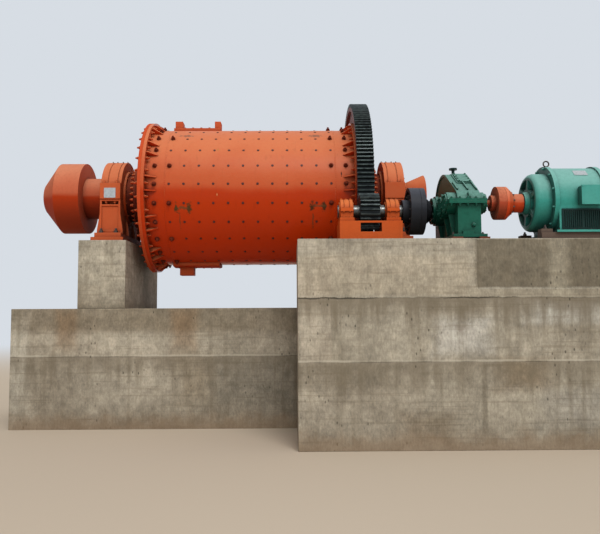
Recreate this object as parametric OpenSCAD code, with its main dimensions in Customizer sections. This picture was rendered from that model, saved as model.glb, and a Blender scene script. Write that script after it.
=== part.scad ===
// Ball mill: a bolted drum on two trunnion bearings, turned by a girth gear and pinion,
// with a drum feeder, discharge trumpet, reducer, motor and concrete foundation.
// X runs along the mill axis towards the drive end, Y away from the drive side, Z up.
// The origin lies under the middle of the drum, on the underside of the foundation.

/* [Drum] */
// Height of the mill axis over the foundation underside
axis_z = 3950; // [3700:10:4300]
// Outer diameter of the drum shell
shell_d = 2450; // [2300:10:2550]
// Thickness of the shell plate
shell_t = 25; // [15:1:40]
// Length of the shell between the inner faces of its end flanges
shell_len = 3478; // [3000:10:3600]
// Height of the bolting flanges over the shell
flange_rise = 131; // [100:1:160]
// Thickness of each shell flange
flange_t = 55; // [30:1:70]
// Pairs of gussets behind each flange
rib_pairs = 12; // [8:1:16]
// Angle between the two gussets of a pair
rib_spread = 10.6; // [8:0.2:14]
// Angle of the first pair of gussets over the horizontal on the drive side
row_turn = 1.8; // [0:0.1:15]
// Reach of a gusset along the shell
rib_len = 180; // [80:5:240]
// Height of a gusset over the shell
rib_h = 105; // [60:1:125]
// Thickness of a gusset
rib_t = 22; // [10:1:30]

/* [Heads and trunnions] */
// Thickness of the head plate
head_t = 54; // [30:1:80]
// Depth of the shallow cone of a head
head_cone = 200; // [120:5:260]
// Diameter of the flange that joins a trunnion to its head
trunnion_flange_d = 1160; // [1080:10:1240]
// Thickness of the trunnion flange
trunnion_flange_t = 50; // [30:1:60]
// Diameter of the trunnion journals
journal_d = 840; // [700:10:900]
// Bore through the trunnions
trunnion_bore = 560; // [400:10:600]

/* [Main bearings] */
// Distance from the seat of the feed head to the feed bearing
feed_reach = 671; // [640:1:720]
// Distance from the seat of the discharge head to the discharge bearing
discharge_reach = 651; // [620:1:720]
// Width of the arched bearing cap
cap_w = 355; // [320:5:380]
// Outer radius of the arched bearing cap
cap_r = 656; // [600:2:680]
// Half length of the bearing across the axis
bearing_half = 700; // [680:5:780]
// Depth of the split plane under the axis
split_drop = 115; // [80:5:180]
// Height of the cap shoulders over the axis
shoulder_rise = 165; // [100:5:220]
// Depth of the foot flange top under the axis
foot_drop = 720; // [680:5:760]
// Thickness of the bearing foot flange
foot_t = 80; // [50:1:90]
// Height of the mill axis over the bearing piers
bearing_height = 900; // [880:5:960]
// Running clearance round shafts and journals
run_gap = 0.3; // [0.2:0.05:0.5]

/* [Girth gear and pinion] */
// Gear module
gear_module = 22; // [21:0.5:23]
// Height of the girth gear's pitch circle over the shell
gear_rise = 447; // [410:1:470]
// Teeth on the pinion
pinion_teeth = 24; // [22:1:26]
// Face width of the girth gear
gear_face = 276; // [200:2:320]
// Radial thickness of the gear rim under the tooth roots
gear_rim = 75; // [40:1:100]
// Thickness of the gear web
web_t = 50; // [30:1:70]
// Tooth thinning that gives the backlash
backlash = 1.5; // [1:0.1:3]
// Face width of the pinion
pinion_face = 300; // [250:5:320]
// Diameter of the pinion shaft
pinion_shaft_d = 200; // [150:5:240]
// Depth of the drive axis under the mill axis
drive_drop = 535; // [500:5:600]

/* [Feeder and trumpet] */
// Outer diameter of the drum feeder
feeder_d = 1275; // [1100:5:1400]
// Length of the straight part of the feeder
feeder_len = 440; // [300:5:500]
// Length of the feeder cone
feeder_cone = 295; // [200:5:400]
// Diameter of the feeder mouth
feeder_mouth = 540; // [420:5:660]
// Wall of the feeder
feeder_t = 16; // [8:1:30]
// Distance from the bearing cap to the feeder
feeder_gap = 398; // [340:1:480]
// Outer diameter of the feeder neck
neck_d = 740; // [660:5:790]
// Lip diameter of the discharge trumpet
trumpet_d = 834; // [700:2:900]
// Neck diameter of the discharge trumpet
trumpet_neck_d = 540; // [480:2:600]
// Length of the flared part of the trumpet
trumpet_len = 344; // [240:2:380]

/* [Manholes] */
// Length of a manhole cover along the drum
manhole_len = 830; // [500:10:900]
// Distance from the end of the shell to the middle of a manhole cover
manhole_inset = 712; // [650:1:850]
// Height of a manhole cover over the shell
manhole_rise = 55; // [30:1:80]
// Height of the cover's end lugs over the shell
lug_rise = 193; // [120:1:220]

/* [Reducer] */
// Distance between the input and output shafts
reducer_centres = 750; // [700:10:800]
// Distance from the large coupling to the reducer's bearing bosses
reducer_gap = 183; // [150:1:220]
// Width of the reducer case
case_w = 330; // [260:5:380]
// Reach of the bosses on the output side from the middle of the case
boss_near = 295; // [240:5:320]
// Reach of the bosses on the input side from the middle of the case
boss_far = 240; // [220:5:300]
// Radius of the dome over the output gear
dome_r = 570; // [480:5:600]
// Radius of the case round the input pinion
nose_r = 205; // [160:5:240]
// Diameter of the output shaft
output_shaft_d = 180; // [140:5:220]
// Diameter of the input and motor shafts
input_shaft_d = 100; // [80:5:120]

/* [Couplings] */
// Diameter of the large coupling on the output shaft
big_coupling_d = 730; // [600:10:760]
// Width over both discs of the large coupling
big_coupling_w = 235; // [180:5:270]
// Diameter of the motor coupling
motor_coupling_d = 480; // [400:5:520]
// Width over both discs of the motor coupling
motor_coupling_w = 226; // [180:2:240]

/* [Motor] */
// Distance from the motor coupling to the face of the motor
motor_gap = 234; // [200:1:280]
// Radius of the motor frame
motor_r = 500; // [420:5:520]
// Length of the motor frame
motor_len = 740; // [600:10:900]
// Length of each end shield
shield_len = 225; // [180:5:300]
// Radius of each end shield
shield_r = 420; // [350:5:440]

/* [Foundation] */
// Depth of the plinth top under the mill axis
plinth_drop = 2023; // [1980:1:2200]
// Length of plinth beyond the feed pier
plinth_reach = 1038; // [600:1:1300]
// Half width of the plinth
plinth_half = 1350; // [1300:10:1500]
// Step from the plinth's sides to the piers' sides
pier_inset = 70; // [20:5:150]
// Width of each bearing pier along the axis
pier_w = 775; // [700:5:860]
// Offset of the piers towards the drum
pier_shift = 45; // [0:5:60]
// Height of the drive axis over the drive block
drive_height = 565; // [540:5:620]
// Length of drive block before the near pinion housing
block_lead = 674; // [400:1:900]
// Length of drive block beyond the motor
block_tail = 605; // [300:5:900]
// Distance from the motor's axis to the front of the drive block
block_apron = 540; // [480:5:700]
// Depth of the ledge under the top of the drive block
ledge_drop = 690; // [400:10:900]
// Depth of the ledge
ledge_depth = 30; // [10:1:60]

/* [Hidden] */
$fn = 96;

// A small overlap that keeps fused pieces of one solid from only touching.
fuse = 1;
shell_r = shell_d / 2;
flange_r = shell_r + flange_rise;
journal_r = journal_d / 2;
shell_end = shell_len / 2;

// The drum's stations outwards from the mid plane. The gear web sits in the drive end's bolted joint.
feed_head_x = shell_end + flange_t;
web_x = shell_end + flange_t;
discharge_head_x = web_x + web_t;
feed_bearing_x = feed_head_x + feed_reach;
discharge_bearing_x = discharge_head_x + discharge_reach;

// Rings that hold the seals on both sides of a bearing.
seal_r = journal_r + 70;
seal_t = 36;

// Gears: pitch, tip and root radii.
pressure_angle = 20;
gear_teeth = round((shell_r + gear_rise) * 2 / gear_module);
gear_pitch_r = gear_module * gear_teeth / 2;
gear_tip_r = gear_pitch_r + gear_module;
gear_root_r = gear_pitch_r - 1.25 * gear_module;
pinion_pitch_r = gear_module * pinion_teeth / 2;
centre_distance = gear_pitch_r + pinion_pitch_r;
gear_x = shell_end;
gear_rim_r = gear_root_r - gear_rim;
pinion_offset = 12;
pinion_x = gear_x + (gear_face - pinion_face) / 2 + pinion_offset;

// The drive axis, which the pinion, the reducer's output shaft and the large coupling share.
drive_z = axis_z - drive_drop;
drive_y = -sqrt(centre_distance * centre_distance - drive_drop * drive_drop);
input_y = drive_y - reducer_centres;
mesh_angle = atan2(-drive_drop, drive_y);

// Pinion housings and their base.
housing_w = 190;
housing_r = 190;
housing_gap = 110;
housing_near_x = pinion_x - housing_gap - housing_w;
housing_far_x = pinion_x + pinion_face + housing_gap;
housing_block = 205;
housing_foot = 50;
base_top = drive_z - 187;
base_front = drive_y - 330;
base_back = drive_y + 280;
base_end_margin = 26;
base_x0 = housing_near_x - base_end_margin;
base_x1 = housing_far_x + housing_w + base_end_margin;
base_plate_t = 30;
base_post_w = housing_w + 2 * base_end_margin;
base_web_drop = 110;
window_margin = 100;
window_h = 135;
window_z = base_top - base_plate_t - window_h;

// Large coupling and the reducer case that follows it.
big_hub_r = 180;
big_hub_len = 95;
big_coupling_x = base_x1 + 132;
disc_gap = 3;
near_disc_w = (big_coupling_w - disc_gap) * 2 / 3;
far_disc_x = big_coupling_x + near_disc_w + disc_gap;
far_disc_w = big_coupling_w - near_disc_w - disc_gap;
boss_x0 = big_coupling_x + big_coupling_w + reducer_gap;
reducer_x = boss_x0 + boss_near;
boss_x1 = reducer_x + boss_far;
case_x0 = reducer_x - case_w / 2;
case_x1 = case_x0 + case_w;

// Reducer.
output_boss_r = 230;
input_boss_r = 160;
middle_boss_r = 185;
middle_y = input_y + reducer_centres * 0.4;
roof_slope = asin((dome_r - nose_r) / reducer_centres);
case_front = input_y - nose_r;
case_back = drive_y + dome_r - 60;
flange_half_t = 34;
end_flange = 55;
case_drop = 515;
case_foot_z = drive_z - case_drop;
case_foot_t = 45;
case_foot = 40;
cover_pad = 14;
output_cap_r = 205;
output_cap_len = 62;
input_cap_r = 140;
input_cap_len = 34;
middle_cap_r = 145;
blind_cap_len = 24;
shaft_entry = 60;
big_hub_end = boss_x0 - output_cap_len;

// Motor coupling.
motor_hub_r = 135;
motor_coupling_x = boss_x1 + 180;
motor_disc_gap = 3;
motor_disc_w = (motor_coupling_w - motor_disc_gap) / 2;
motor_disc2_x = motor_coupling_x + motor_disc_w + motor_disc_gap;

// Motor.
motor_x = motor_coupling_x + motor_coupling_w + motor_gap;
motor_frame_x = motor_x + shield_len;
motor_frame_end = motor_frame_x + motor_len;
motor_ring_w = 60;
motor_ring_r = motor_r + 22;
motor_drop = 480;
motor_foot_z = drive_z - motor_drop;
motor_foot_t = 30;
motor_foot = 20;
motor_skirt_half = motor_r - 14;
shield_boss_r = 170;
shield_boss_len = 60;
vent_r0 = shield_boss_r + 30;
vent_r1 = shield_r - 85;
vent_depth = 70;
rail_w = 170;
rail_reach = 190;
grille_t = 14;
grille_w = motor_len - 160;
grille_x = motor_frame_x + motor_ring_w + 33;
grille_z0 = motor_foot_z + motor_foot_t + 8;
grille_h = 286;
box_w = 310;
box_h = 250;
box_depth = 140;
box_lead = 320;
box_x = motor_frame_x + box_lead;
box_z = drive_z - 110;
box_reach = motor_r + 140;
eye_x = motor_frame_x + motor_ring_w + 26;

// Foundation.
pier_top = axis_z - bearing_height;
plinth_top = axis_z - plinth_drop;
block_top = drive_z - drive_height;
feed_pier_x = -feed_bearing_x + pier_shift - pier_w / 2;
discharge_pier_x = discharge_bearing_x - pier_shift - pier_w / 2;
plinth_end = plinth_reach - feed_pier_x;
pier_half = plinth_half - pier_inset;
block_start = housing_near_x - block_lead;
block_end = motor_frame_end + shield_len + block_tail;
block_front = block_apron - input_y;
block_inset = 350;
block_back = plinth_half - block_inset;
ledge_z = block_top - ledge_drop;

// Places what is drawn along Z so that it runs along X, with its own X to Y and Y to Z.
module along_x() {
    rotate([90, 0, 90]) children();
}

// A cylinder along X from x0 to x1, round the line at y and z.
module rod(x0, x1, r, y = 0, z = axis_z) {
    translate([x0, y, z]) along_x() cylinder(r = r, h = x1 - x0);
}

// A solid of revolution about the line at y and z, from points of [distance along X, radius].
module turned(points, y = 0, z = axis_z) {
    translate([0, y, z]) along_x() rotate_extrude() polygon([for (p = points) [p[1], p[0]]]);
}

// A box between two corners.
module block(low, high) {
    translate(low) cube(high - low);
}

// Involute of the pressure angle a, in degrees.
function involute(a) = tan(a) * 180 / PI - a;

// Half the angle that a tooth takes at radius r.
function tooth_half(teeth, pitch_r, r) =
    let (base_r = pitch_r * cos(pressure_angle))
    let (a = r > base_r ? acos(base_r / r) : 0)
    90 / teeth - backlash / pitch_r * 90 / PI + involute(pressure_angle) - involute(a);

// Outline of a spur gear with one tooth on the angle `turn`.
module gear_outline(teeth, turn, steps) {
    pitch_r = gear_module * teeth / 2;
    tip_r = pitch_r + gear_module;
    root_r = pitch_r - 1.25 * gear_module;
    low_r = max(root_r, pitch_r * cos(pressure_angle));
    radii = [for (i = [0 : steps]) low_r + (tip_r - low_r) * i / steps];
    polygon([for (k = [0 : teeth - 1])
        let (mid = turn + 360 * k / teeth)
        each concat(
            [let (a = mid - tooth_half(teeth, pitch_r, low_r)) root_r * [cos(a), sin(a)]],
            [for (r = radii) let (a = mid - tooth_half(teeth, pitch_r, r)) r * [cos(a), sin(a)]],
            [for (i = [steps : -1 : 0])
                let (a = mid + tooth_half(teeth, pitch_r, radii[i])) radii[i] * [cos(a), sin(a)]],
            [let (a = mid + tooth_half(teeth, pitch_r, low_r)) root_r * [cos(a), sin(a)]])]);
}

// Foundation.
module plinth() {
    color("#A59B8C") block([-plinth_end, -plinth_half, 0], [discharge_pier_x, plinth_half, plinth_top]);
}

module feed_pier() {
    color("#A59B8C") block([feed_pier_x, -pier_half, plinth_top],
                           [feed_pier_x + pier_w, pier_half, pier_top]);
}

module drive_block() {
    pier_end = discharge_pier_x + pier_w;
    color("#A59B8C") {
        block([block_start, -block_front, 0], [reducer_x, -plinth_half, block_top]);
        block([reducer_x - fuse, -block_front, 0], [block_end, -plinth_half, ledge_z]);
        block([reducer_x - fuse, ledge_depth - block_front, 0], [block_end, -plinth_half, block_top]);
        block([pier_end, -plinth_half - fuse, 0], [block_end, -block_back, block_top]);
    }
}

module discharge_pier() {
    color("#A59B8C") {
        block([discharge_pier_x, -plinth_half, 0], [discharge_pier_x + pier_w, plinth_half, plinth_top]);
        block([discharge_pier_x, -pier_half, plinth_top - fuse],
              [discharge_pier_x + pier_w, pier_half, pier_top]);
    }
}

// Main bearings.
module bearing_base(x) {
    split_z = axis_z - split_drop;
    foot_z = axis_z - foot_drop;
    face = bearing_half - 20;
    side_t = 34;
    panel_depth = 14;
    panel_margin = 60;
    lip_t = 38;
    pocket_h = 58;
    pocket_depth = 90;
    foot_x = cap_w / 2 + 50;
    foot_y = bearing_half + 110;
    sole_margin = 50;
    rib_reach = 45;
    difference() {
        union() {
            block([x - cap_w / 2, -face, foot_z - fuse], [x + cap_w / 2, face, split_z]);
            block([x - foot_x, -foot_y, foot_z - foot_t], [x + foot_x, foot_y, foot_z]);
            block([x - foot_x - sole_margin, -foot_y - sole_margin, pier_top],
                  [x + foot_x + sole_margin, foot_y + sole_margin, foot_z - foot_t + fuse]);
            for (y = [-face, -face / 3 - side_t / 2, face / 3 - side_t / 2, face - side_t]) {
                translate([x, y + side_t, foot_z - fuse]) rotate([90, 0, 0]) linear_extrude(side_t)
                    polygon([[-cap_w / 2 - rib_reach, 0], [cap_w / 2 + rib_reach, 0],
                             [cap_w / 2 + rib_reach, 60], [cap_w / 2 - fuse, foot_drop / 2],
                             [fuse - cap_w / 2, foot_drop / 2], [-cap_w / 2 - rib_reach, 60]]);
            }
            intersection() {
                rod(x - cap_w / 2 - seal_t, x + cap_w / 2 + seal_t, seal_r);
                block([x - cap_w, -seal_r, axis_z - seal_r], [x + cap_w, seal_r, split_z]);
            }
        }
        rod(x - cap_w, x + cap_w, journal_r + run_gap);
        for (side = [-1, 1]) {
            mirror([0, side > 0 ? 0 : 1, 0]) {
                block([x - cap_w / 2 + side_t, face - panel_depth, foot_z + panel_margin],
                      [x + cap_w / 2 - side_t, face + fuse, split_z - lip_t - pocket_h - panel_margin / 2]);
                block([x - cap_w / 2 + side_t, face - pocket_depth, split_z - lip_t - pocket_h],
                      [x + cap_w / 2 - side_t, face + fuse, split_z - lip_t]);
            }
        }
    }
}

// The cutter for a groove of width w and depth d, centred on x, round a drum of radius r.
module groove(x, w, d, r, y, z) {
    turned([[x - w / 2, r - d], [x + w / 2, r - d], [x + w / 2, r + d], [x - w / 2, r + d]], y, z);
}

// The bearing cap at x, whose drum side lies against dir.
module bearing_cap(x, dir) {
    groove_w = 18;
    groove_depth = 12;
    difference() {
        union() {
            rod(x - cap_w / 2, x + cap_w / 2, cap_r);
            rod(x - cap_w / 2 - seal_t, x + cap_w / 2 + seal_t, seal_r);
            block([x - cap_w / 2, -bearing_half, axis_z - split_drop],
                  [x + cap_w / 2, bearing_half, axis_z + shoulder_rise]);
        }
        block([x - cap_w, -cap_r - fuse, axis_z - cap_r - fuse],
              [x + cap_w, cap_r + fuse, axis_z - split_drop]);
        rod(x - cap_w, x + cap_w, journal_r + run_gap);
        for (reach = [cap_w * 0.18, cap_w * 0.65]) {
            groove(x - dir * cap_w / 2 + dir * reach, groove_w, groove_depth, cap_r, 0, axis_z);
        }
    }
}

module feed_bearing_base() {
    color("#C8502D") bearing_base(-feed_bearing_x);
}

module feed_bearing_cap() {
    color("#D25F3A") bearing_cap(-feed_bearing_x, -1);
}

module discharge_bearing_base() {
    color("#C8502D") bearing_base(discharge_bearing_x);
}

module discharge_bearing_cap() {
    color("#D25F3A") bearing_cap(discharge_bearing_x, 1);
}

// Pinion housings on their fabricated base.
module pinion_base() {
    color("#E07038") difference() {
        union() {
            block([base_x0, base_front, block_top], [base_x1, base_front + base_plate_t, base_top]);
            block([base_x0, base_back - base_plate_t, block_top],
                  [base_x1, base_back, base_top - base_web_drop]);
            block([base_x0 - base_plate_t, base_front - base_plate_t, block_top],
                  [base_x1 + base_plate_t, base_back + base_plate_t, block_top + base_plate_t]);
            for (x = [base_x0, base_x1 - base_post_w]) {
                block([x, base_front, block_top], [x + base_post_w, base_back, base_top]);
            }
        }
        block([housing_near_x + housing_w + window_margin, base_front - fuse, window_z],
              [housing_far_x - window_margin, base_front + base_plate_t + fuse, window_z + window_h]);
        for (x = [base_x0, base_x1 - base_post_w]) {
            block([x + base_plate_t, base_front + 2 * base_plate_t, block_top + base_plate_t],
                  [x + base_post_w - base_plate_t, base_back + fuse, base_top - 2 * base_plate_t]);
        }
    }
}

module pinion_housing(x) {
    foot_t = 60;
    lip = 30;
    lip_t = 24;
    cover_r = 150;
    cover_t = 16;
    groove_w = 12;
    groove_depth = 10;
    difference() {
        union() {
            rod(x, x + housing_w, housing_r, drive_y, drive_z);
            rod(x - cover_t, x + housing_w + cover_t, cover_r, drive_y, drive_z);
            block([x, drive_y - housing_block, base_top], [x + housing_w, drive_y + housing_block, drive_z]);
            block([x, drive_y - housing_block - lip, drive_z - lip_t],
                  [x + housing_w, drive_y + housing_block + lip, drive_z + lip_t]);
            block([x - cover_t, drive_y - housing_block - housing_foot, base_top],
                  [x + housing_w + cover_t, drive_y + housing_block + housing_foot, base_top + foot_t]);
        }
        block([x - housing_w, drive_y - 2 * housing_r, base_top - housing_r],
              [x + 2 * housing_w, drive_y + 2 * housing_r, base_top]);
        rod(x - housing_w, x + 2 * housing_w, pinion_shaft_d / 2 + run_gap, drive_y, drive_z);
        for (part = [0.28, 0.72]) {
            intersection() {
                groove(x + part * housing_w, groove_w, groove_depth, housing_r, drive_y, drive_z);
                block([x, drive_y - housing_r - 2 * groove_depth, drive_z + lip_t],
                      [x + housing_w, drive_y + housing_r + 2 * groove_depth, drive_z + 2 * housing_r]);
            }
        }
    }
}

module pinion_housing_near() {
    color("#E07038") pinion_housing(housing_near_x);
}

module pinion_housing_far() {
    color("#E07038") pinion_housing(housing_far_x);
}

// Reducer with two parallel shafts.
module case_profile(inset = 0) {
    normal = [-sin(roof_slope), cos(roof_slope)];
    translate([drive_y, drive_z]) circle(r = dome_r - inset);
    translate([input_y, drive_z]) circle(r = nose_r - inset);
    polygon([[drive_y, drive_z], [input_y, drive_z], [input_y, drive_z] + (nose_r - inset) * normal,
             [drive_y, drive_z] + (dome_r - inset) * normal]);
}

// The upper case as a shell form with a rim round each side face.
module case_dome() {
    rim = 38;
    sunk = 12;
    difference() {
        translate([case_x0, 0, 0]) along_x() linear_extrude(case_w) case_profile();
        for (x = [case_x0 - sunk, case_x1 - sunk]) {
            translate([x, 0, 0]) along_x() linear_extrude(2 * sunk) case_profile(rim);
        }
    }
}

// Lifting ears on the ends of the upper case.
module case_ears() {
    ear_t = 30;
    ear_r = 46;
    eye_hole_r = 20;
    for (side = [-1, 1]) {
        y = side < 0 ? input_y - nose_r + 6 : drive_y + dome_r - 6;
        translate([reducer_x - ear_t / 2, y, drive_z + flange_half_t + ear_r + 10]) along_x()
            linear_extrude(ear_t) difference() {
                union() {
                    circle(r = ear_r);
                    translate([side < 0 ? 0 : -ear_r, -ear_r - 20]) square([ear_r, ear_r + 20]);
                    translate([-ear_r, -ear_r - 20]) square([2 * ear_r, 24]);
                }
                translate([side * 12, 0]) circle(r = eye_hole_r);
            }
    }
}

module case_bosses() {
    rod(boss_x0, boss_x1, output_boss_r, drive_y, drive_z);
    rod(boss_x0, boss_x1, middle_boss_r, middle_y, drive_z);
    rod(boss_x0, boss_x1, input_boss_r, input_y, drive_z);
}

module case_bores() {
    rod(boss_x0 - fuse, boss_x0 + shaft_entry, output_shaft_d / 2 + run_gap, drive_y, drive_z);
    rod(boss_x1 - shaft_entry, boss_x1 + fuse, input_shaft_d / 2 + run_gap, input_y, drive_z);
}

module split_flange(z0, z1) {
    block([boss_x0, case_front - end_flange, z0], [boss_x1, drive_y + dome_r + end_flange, z1]);
}

// Places what is drawn flat on the roof, with Y up the slope and Z out of it.
module on_roof(x) {
    translate([x, drive_y, drive_z]) rotate([roof_slope, 0, 0]) translate([0, 0, dome_r]) children();
}

cover_x = reducer_x + 44;
cover_w = 200;
cover_y0 = -330;
cover_len = 370;
breather_x = reducer_x + 15;
breather_pad = 14;

module reducer_upper_case() {
    roof_rib_t = 18;
    roof_rib_h = 26;
    pad_margin = 20;
    color("#3C8A74") difference() {
        intersection() {
            union() {
                case_dome();
                case_bosses();
                case_ears();
                split_flange(drive_z, drive_z + flange_half_t);
                on_roof(cover_x)
                    translate([-cover_w / 2 - pad_margin, cover_y0 - pad_margin, -2 * cover_pad])
                        cube([cover_w + 2 * pad_margin, cover_len + 2 * pad_margin, 3 * cover_pad]);
                for (x = [case_x0 + roof_rib_t, reducer_x, case_x1 - 2 * roof_rib_t]) {
                    on_roof(x) translate([0, -reducer_centres * cos(roof_slope), -roof_rib_h])
                        cube([roof_rib_t, reducer_centres * cos(roof_slope) + cover_y0, 2 * roof_rib_h]);
                }
                translate([breather_x, drive_y, drive_z]) cylinder(r = 60, h = dome_r + breather_pad);
            }
            block([boss_x0 - fuse, input_y - 2 * dome_r, drive_z],
                  [boss_x1 + fuse, drive_y + 2 * dome_r, drive_z + 2 * dome_r]);
        }
        case_bores();
    }
}

// Ribs under the bearing bosses, which taper to the case wall at the foot.
module case_ribs() {
    rib = 26;
    for (y = [drive_y, middle_y, input_y]) {
        translate([0, y + rib / 2, 0]) rotate([90, 0, 0]) linear_extrude(rib)
            polygon([[boss_x0 + 20, drive_z - 60], [case_x0 - 30, case_foot_z + case_foot_t - fuse],
                     [case_x1 + 30, case_foot_z + case_foot_t - fuse], [boss_x1 - 20, drive_z - 60]]);
    }
}

module reducer_lower_case() {
    lug_w = 150;
    color("#236E55") difference() {
        union() {
            block([case_x0, case_front, case_foot_z], [case_x1, case_back, drive_z]);
            intersection() {
                case_bosses();
                block([boss_x0, input_y - 2 * dome_r, drive_z - dome_r],
                      [boss_x1, drive_y + 2 * dome_r, drive_z]);
            }
            split_flange(drive_z - flange_half_t, drive_z);
            case_ribs();
            block([case_x0 - 75, case_front - case_foot, case_foot_z],
                  [case_x1 + 75, case_back + case_foot, case_foot_z + case_foot_t]);
            block([reducer_x - lug_w / 2 - 30, case_front - case_foot, case_foot_z],
                  [reducer_x + lug_w / 2 - 30, case_front + fuse, case_foot_z + 2 * case_foot_t]);
        }
        case_bores();
    }
}

module reducer_base() {
    beam_w = 150;
    color("#8C3A24") for (x = [case_x0 - 100, case_x1 + 100 - beam_w]) {
        block([x, case_front - 80, block_top], [x + beam_w, case_back + 80, case_foot_z]);
    }
}

module inspection_cover() {
    cover_t = 16;
    color("#4C967F") on_roof(cover_x) translate([-cover_w / 2, cover_y0, cover_pad])
        cube([cover_w, cover_len, cover_t]);
}

module breather() {
    color("#2C5A4C") translate([breather_x, drive_y, drive_z + dome_r + breather_pad]) {
        cylinder(r = 24, h = 80);
        translate([0, 0, 70]) cylinder(r = 62, h = 26);
    }
}

module output_bearing_caps() {
    color("#2C7A62") {
        difference() {
            rod(boss_x0 - output_cap_len + 12, boss_x0, output_cap_r, drive_y, drive_z);
            rod(boss_x0 - output_cap_len, boss_x0 + fuse, output_shaft_d / 2 + run_gap, drive_y, drive_z);
        }
        rod(boss_x1, boss_x1 + blind_cap_len, output_cap_r, drive_y, drive_z);
        for (x = [boss_x0 - blind_cap_len, boss_x1]) {
            rod(x, x + blind_cap_len, middle_cap_r, middle_y, drive_z);
        }
    }
}

module input_bearing_caps() {
    color("#2C7A62") {
        difference() {
            rod(boss_x1, boss_x1 + input_cap_len, input_cap_r, input_y, drive_z);
            rod(boss_x1 - fuse, boss_x1 + input_cap_len + fuse, input_shaft_d / 2 + run_gap,
                input_y, drive_z);
        }
        rod(boss_x0 - blind_cap_len, boss_x0, input_cap_r, input_y, drive_z);
    }
}

// Motor.
module motor_rails() {
    stop_w = 160;
    stop_h = 50;
    color("#5A5550") for (side = [-1, 1]) {
        rail_y = input_y + side * (motor_skirt_half - rail_w / 2) - rail_w / 2;
        block([motor_frame_x - rail_reach, rail_y, block_top],
              [motor_frame_end + 60, rail_y + rail_w, motor_foot_z]);
        block([motor_frame_x - rail_reach, rail_y + 20, motor_foot_z - fuse],
              [motor_frame_x - rail_reach + stop_w, rail_y + rail_w - 20, motor_foot_z + stop_h]);
    }
}

module motor_frame() {
    color("#3F9C88") {
        difference() {
            union() {
                rod(motor_frame_x, motor_frame_end, motor_r, input_y, drive_z);
                block([motor_frame_x + motor_ring_w, input_y - motor_skirt_half, motor_foot_z],
                      [motor_frame_end - 10, input_y + motor_skirt_half, drive_z]);
                rod(motor_frame_x, motor_frame_x + motor_ring_w, motor_ring_r, input_y, drive_z);
                rod(motor_frame_end - motor_ring_w, motor_frame_end, motor_ring_r, input_y, drive_z);
                block([motor_frame_x + 10, input_y - motor_r - motor_foot, motor_foot_z],
                      [motor_frame_end - 5, input_y + motor_r + motor_foot, motor_foot_z + motor_foot_t]);
            }
            block([motor_frame_x - fuse, input_y - 2 * motor_r, motor_foot_z - motor_r],
                  [motor_frame_end + fuse, input_y + 2 * motor_r, motor_foot_z]);
            for (side = [-1, 1]) {
                grille_y = input_y + side * (motor_skirt_half - 30);
                block([grille_x + 20, grille_y - 60, grille_z0 + 20],
                      [grille_x + grille_w - 20, grille_y + 60, grille_z0 + grille_h - 20]);
            }
        }
    }
}

module shield(x_face, x_seat) {
    step = (x_seat - x_face) / shield_len;
    spokes = 6;
    spoke_w = 56;
    difference() {
        turned([[x_seat, 0], [x_seat, shield_r], [x_face + step * 70, shield_r],
                [x_face + step * 34, shield_r - 14], [x_face + step * 10, shield_r - 40],
                [x_face, shield_r - 72], [x_face, shield_boss_r],
                [x_face - step * shield_boss_len, shield_boss_r - 20],
                [x_face - step * shield_boss_len, 0]], input_y, drive_z);
        difference() {
            turned([[x_face - step * fuse, vent_r0], [x_face - step * fuse, vent_r1],
                    [x_face + step * vent_depth, vent_r1], [x_face + step * vent_depth, vent_r0]],
                   input_y, drive_z);
            for (i = [0 : spokes - 1]) {
                translate([x_face, input_y, drive_z]) rotate([i * 360 / spokes + 12, 0, 0])
                    translate([-2 * vent_depth, -spoke_w / 2, 0]) cube([4 * vent_depth, spoke_w, shield_r]);
            }
        }
    }
}

module motor_drive_shield() {
    color("#3F9C88") difference() {
        shield(motor_x, motor_frame_x);
        rod(motor_x - 2 * shield_boss_len, motor_x + shaft_entry, input_shaft_d / 2 + run_gap,
            input_y, drive_z);
    }
}

module motor_rear_shield() {
    color("#3F9C88") shield(motor_frame_end + shield_len, motor_frame_end);
}

module terminal_box() {
    inset = 34;
    lid_t = 16;
    lid_lip = 8;
    face_y = input_y - box_reach;
    color("#4BA893") difference() {
        union() {
            block([box_x, face_y + lid_t - fuse, box_z], [box_x + box_w, face_y + box_depth, box_z + box_h]);
            block([box_x - lid_lip, face_y, box_z - lid_lip],
                  [box_x + box_w + lid_lip, face_y + lid_t, box_z + box_h + lid_lip]);
            block([box_x + inset, face_y + box_depth - fuse, box_z + inset],
                  [box_x + box_w - inset, input_y, box_z + box_h - inset]);
        }
        rod(box_x - inset, box_x + box_w + inset, motor_r, input_y, drive_z);
        block([box_x - inset, input_y - motor_skirt_half, motor_foot_z],
              [box_x + box_w + inset, input_y + fuse, drive_z]);
    }
}

module motor_grilles() {
    bar_pitch = 27;
    slot_w = 13;
    rim = 20;
    panel_w = (grille_w - 3 * rim) / 2;
    slots = floor(panel_w / bar_pitch);
    color("#2F7F6E") for (side = [-1, 1]) {
        translate([grille_x, input_y + side * (motor_skirt_half + grille_t / 2) - grille_t / 2, grille_z0]) {
            difference() {
                cube([grille_w, grille_t, grille_h]);
                for (panel = [0, 1]) {
                    for (i = [0 : slots - 1]) {
                        slot_x = rim + panel * (panel_w + rim) + (i + 0.5) * panel_w / slots - slot_w / 2;
                        translate([slot_x, -fuse, rim])
                            cube([slot_w, grille_t + 2 * fuse, grille_h - 2 * rim]);
                    }
                }
            }
        }
    }
}

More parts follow.
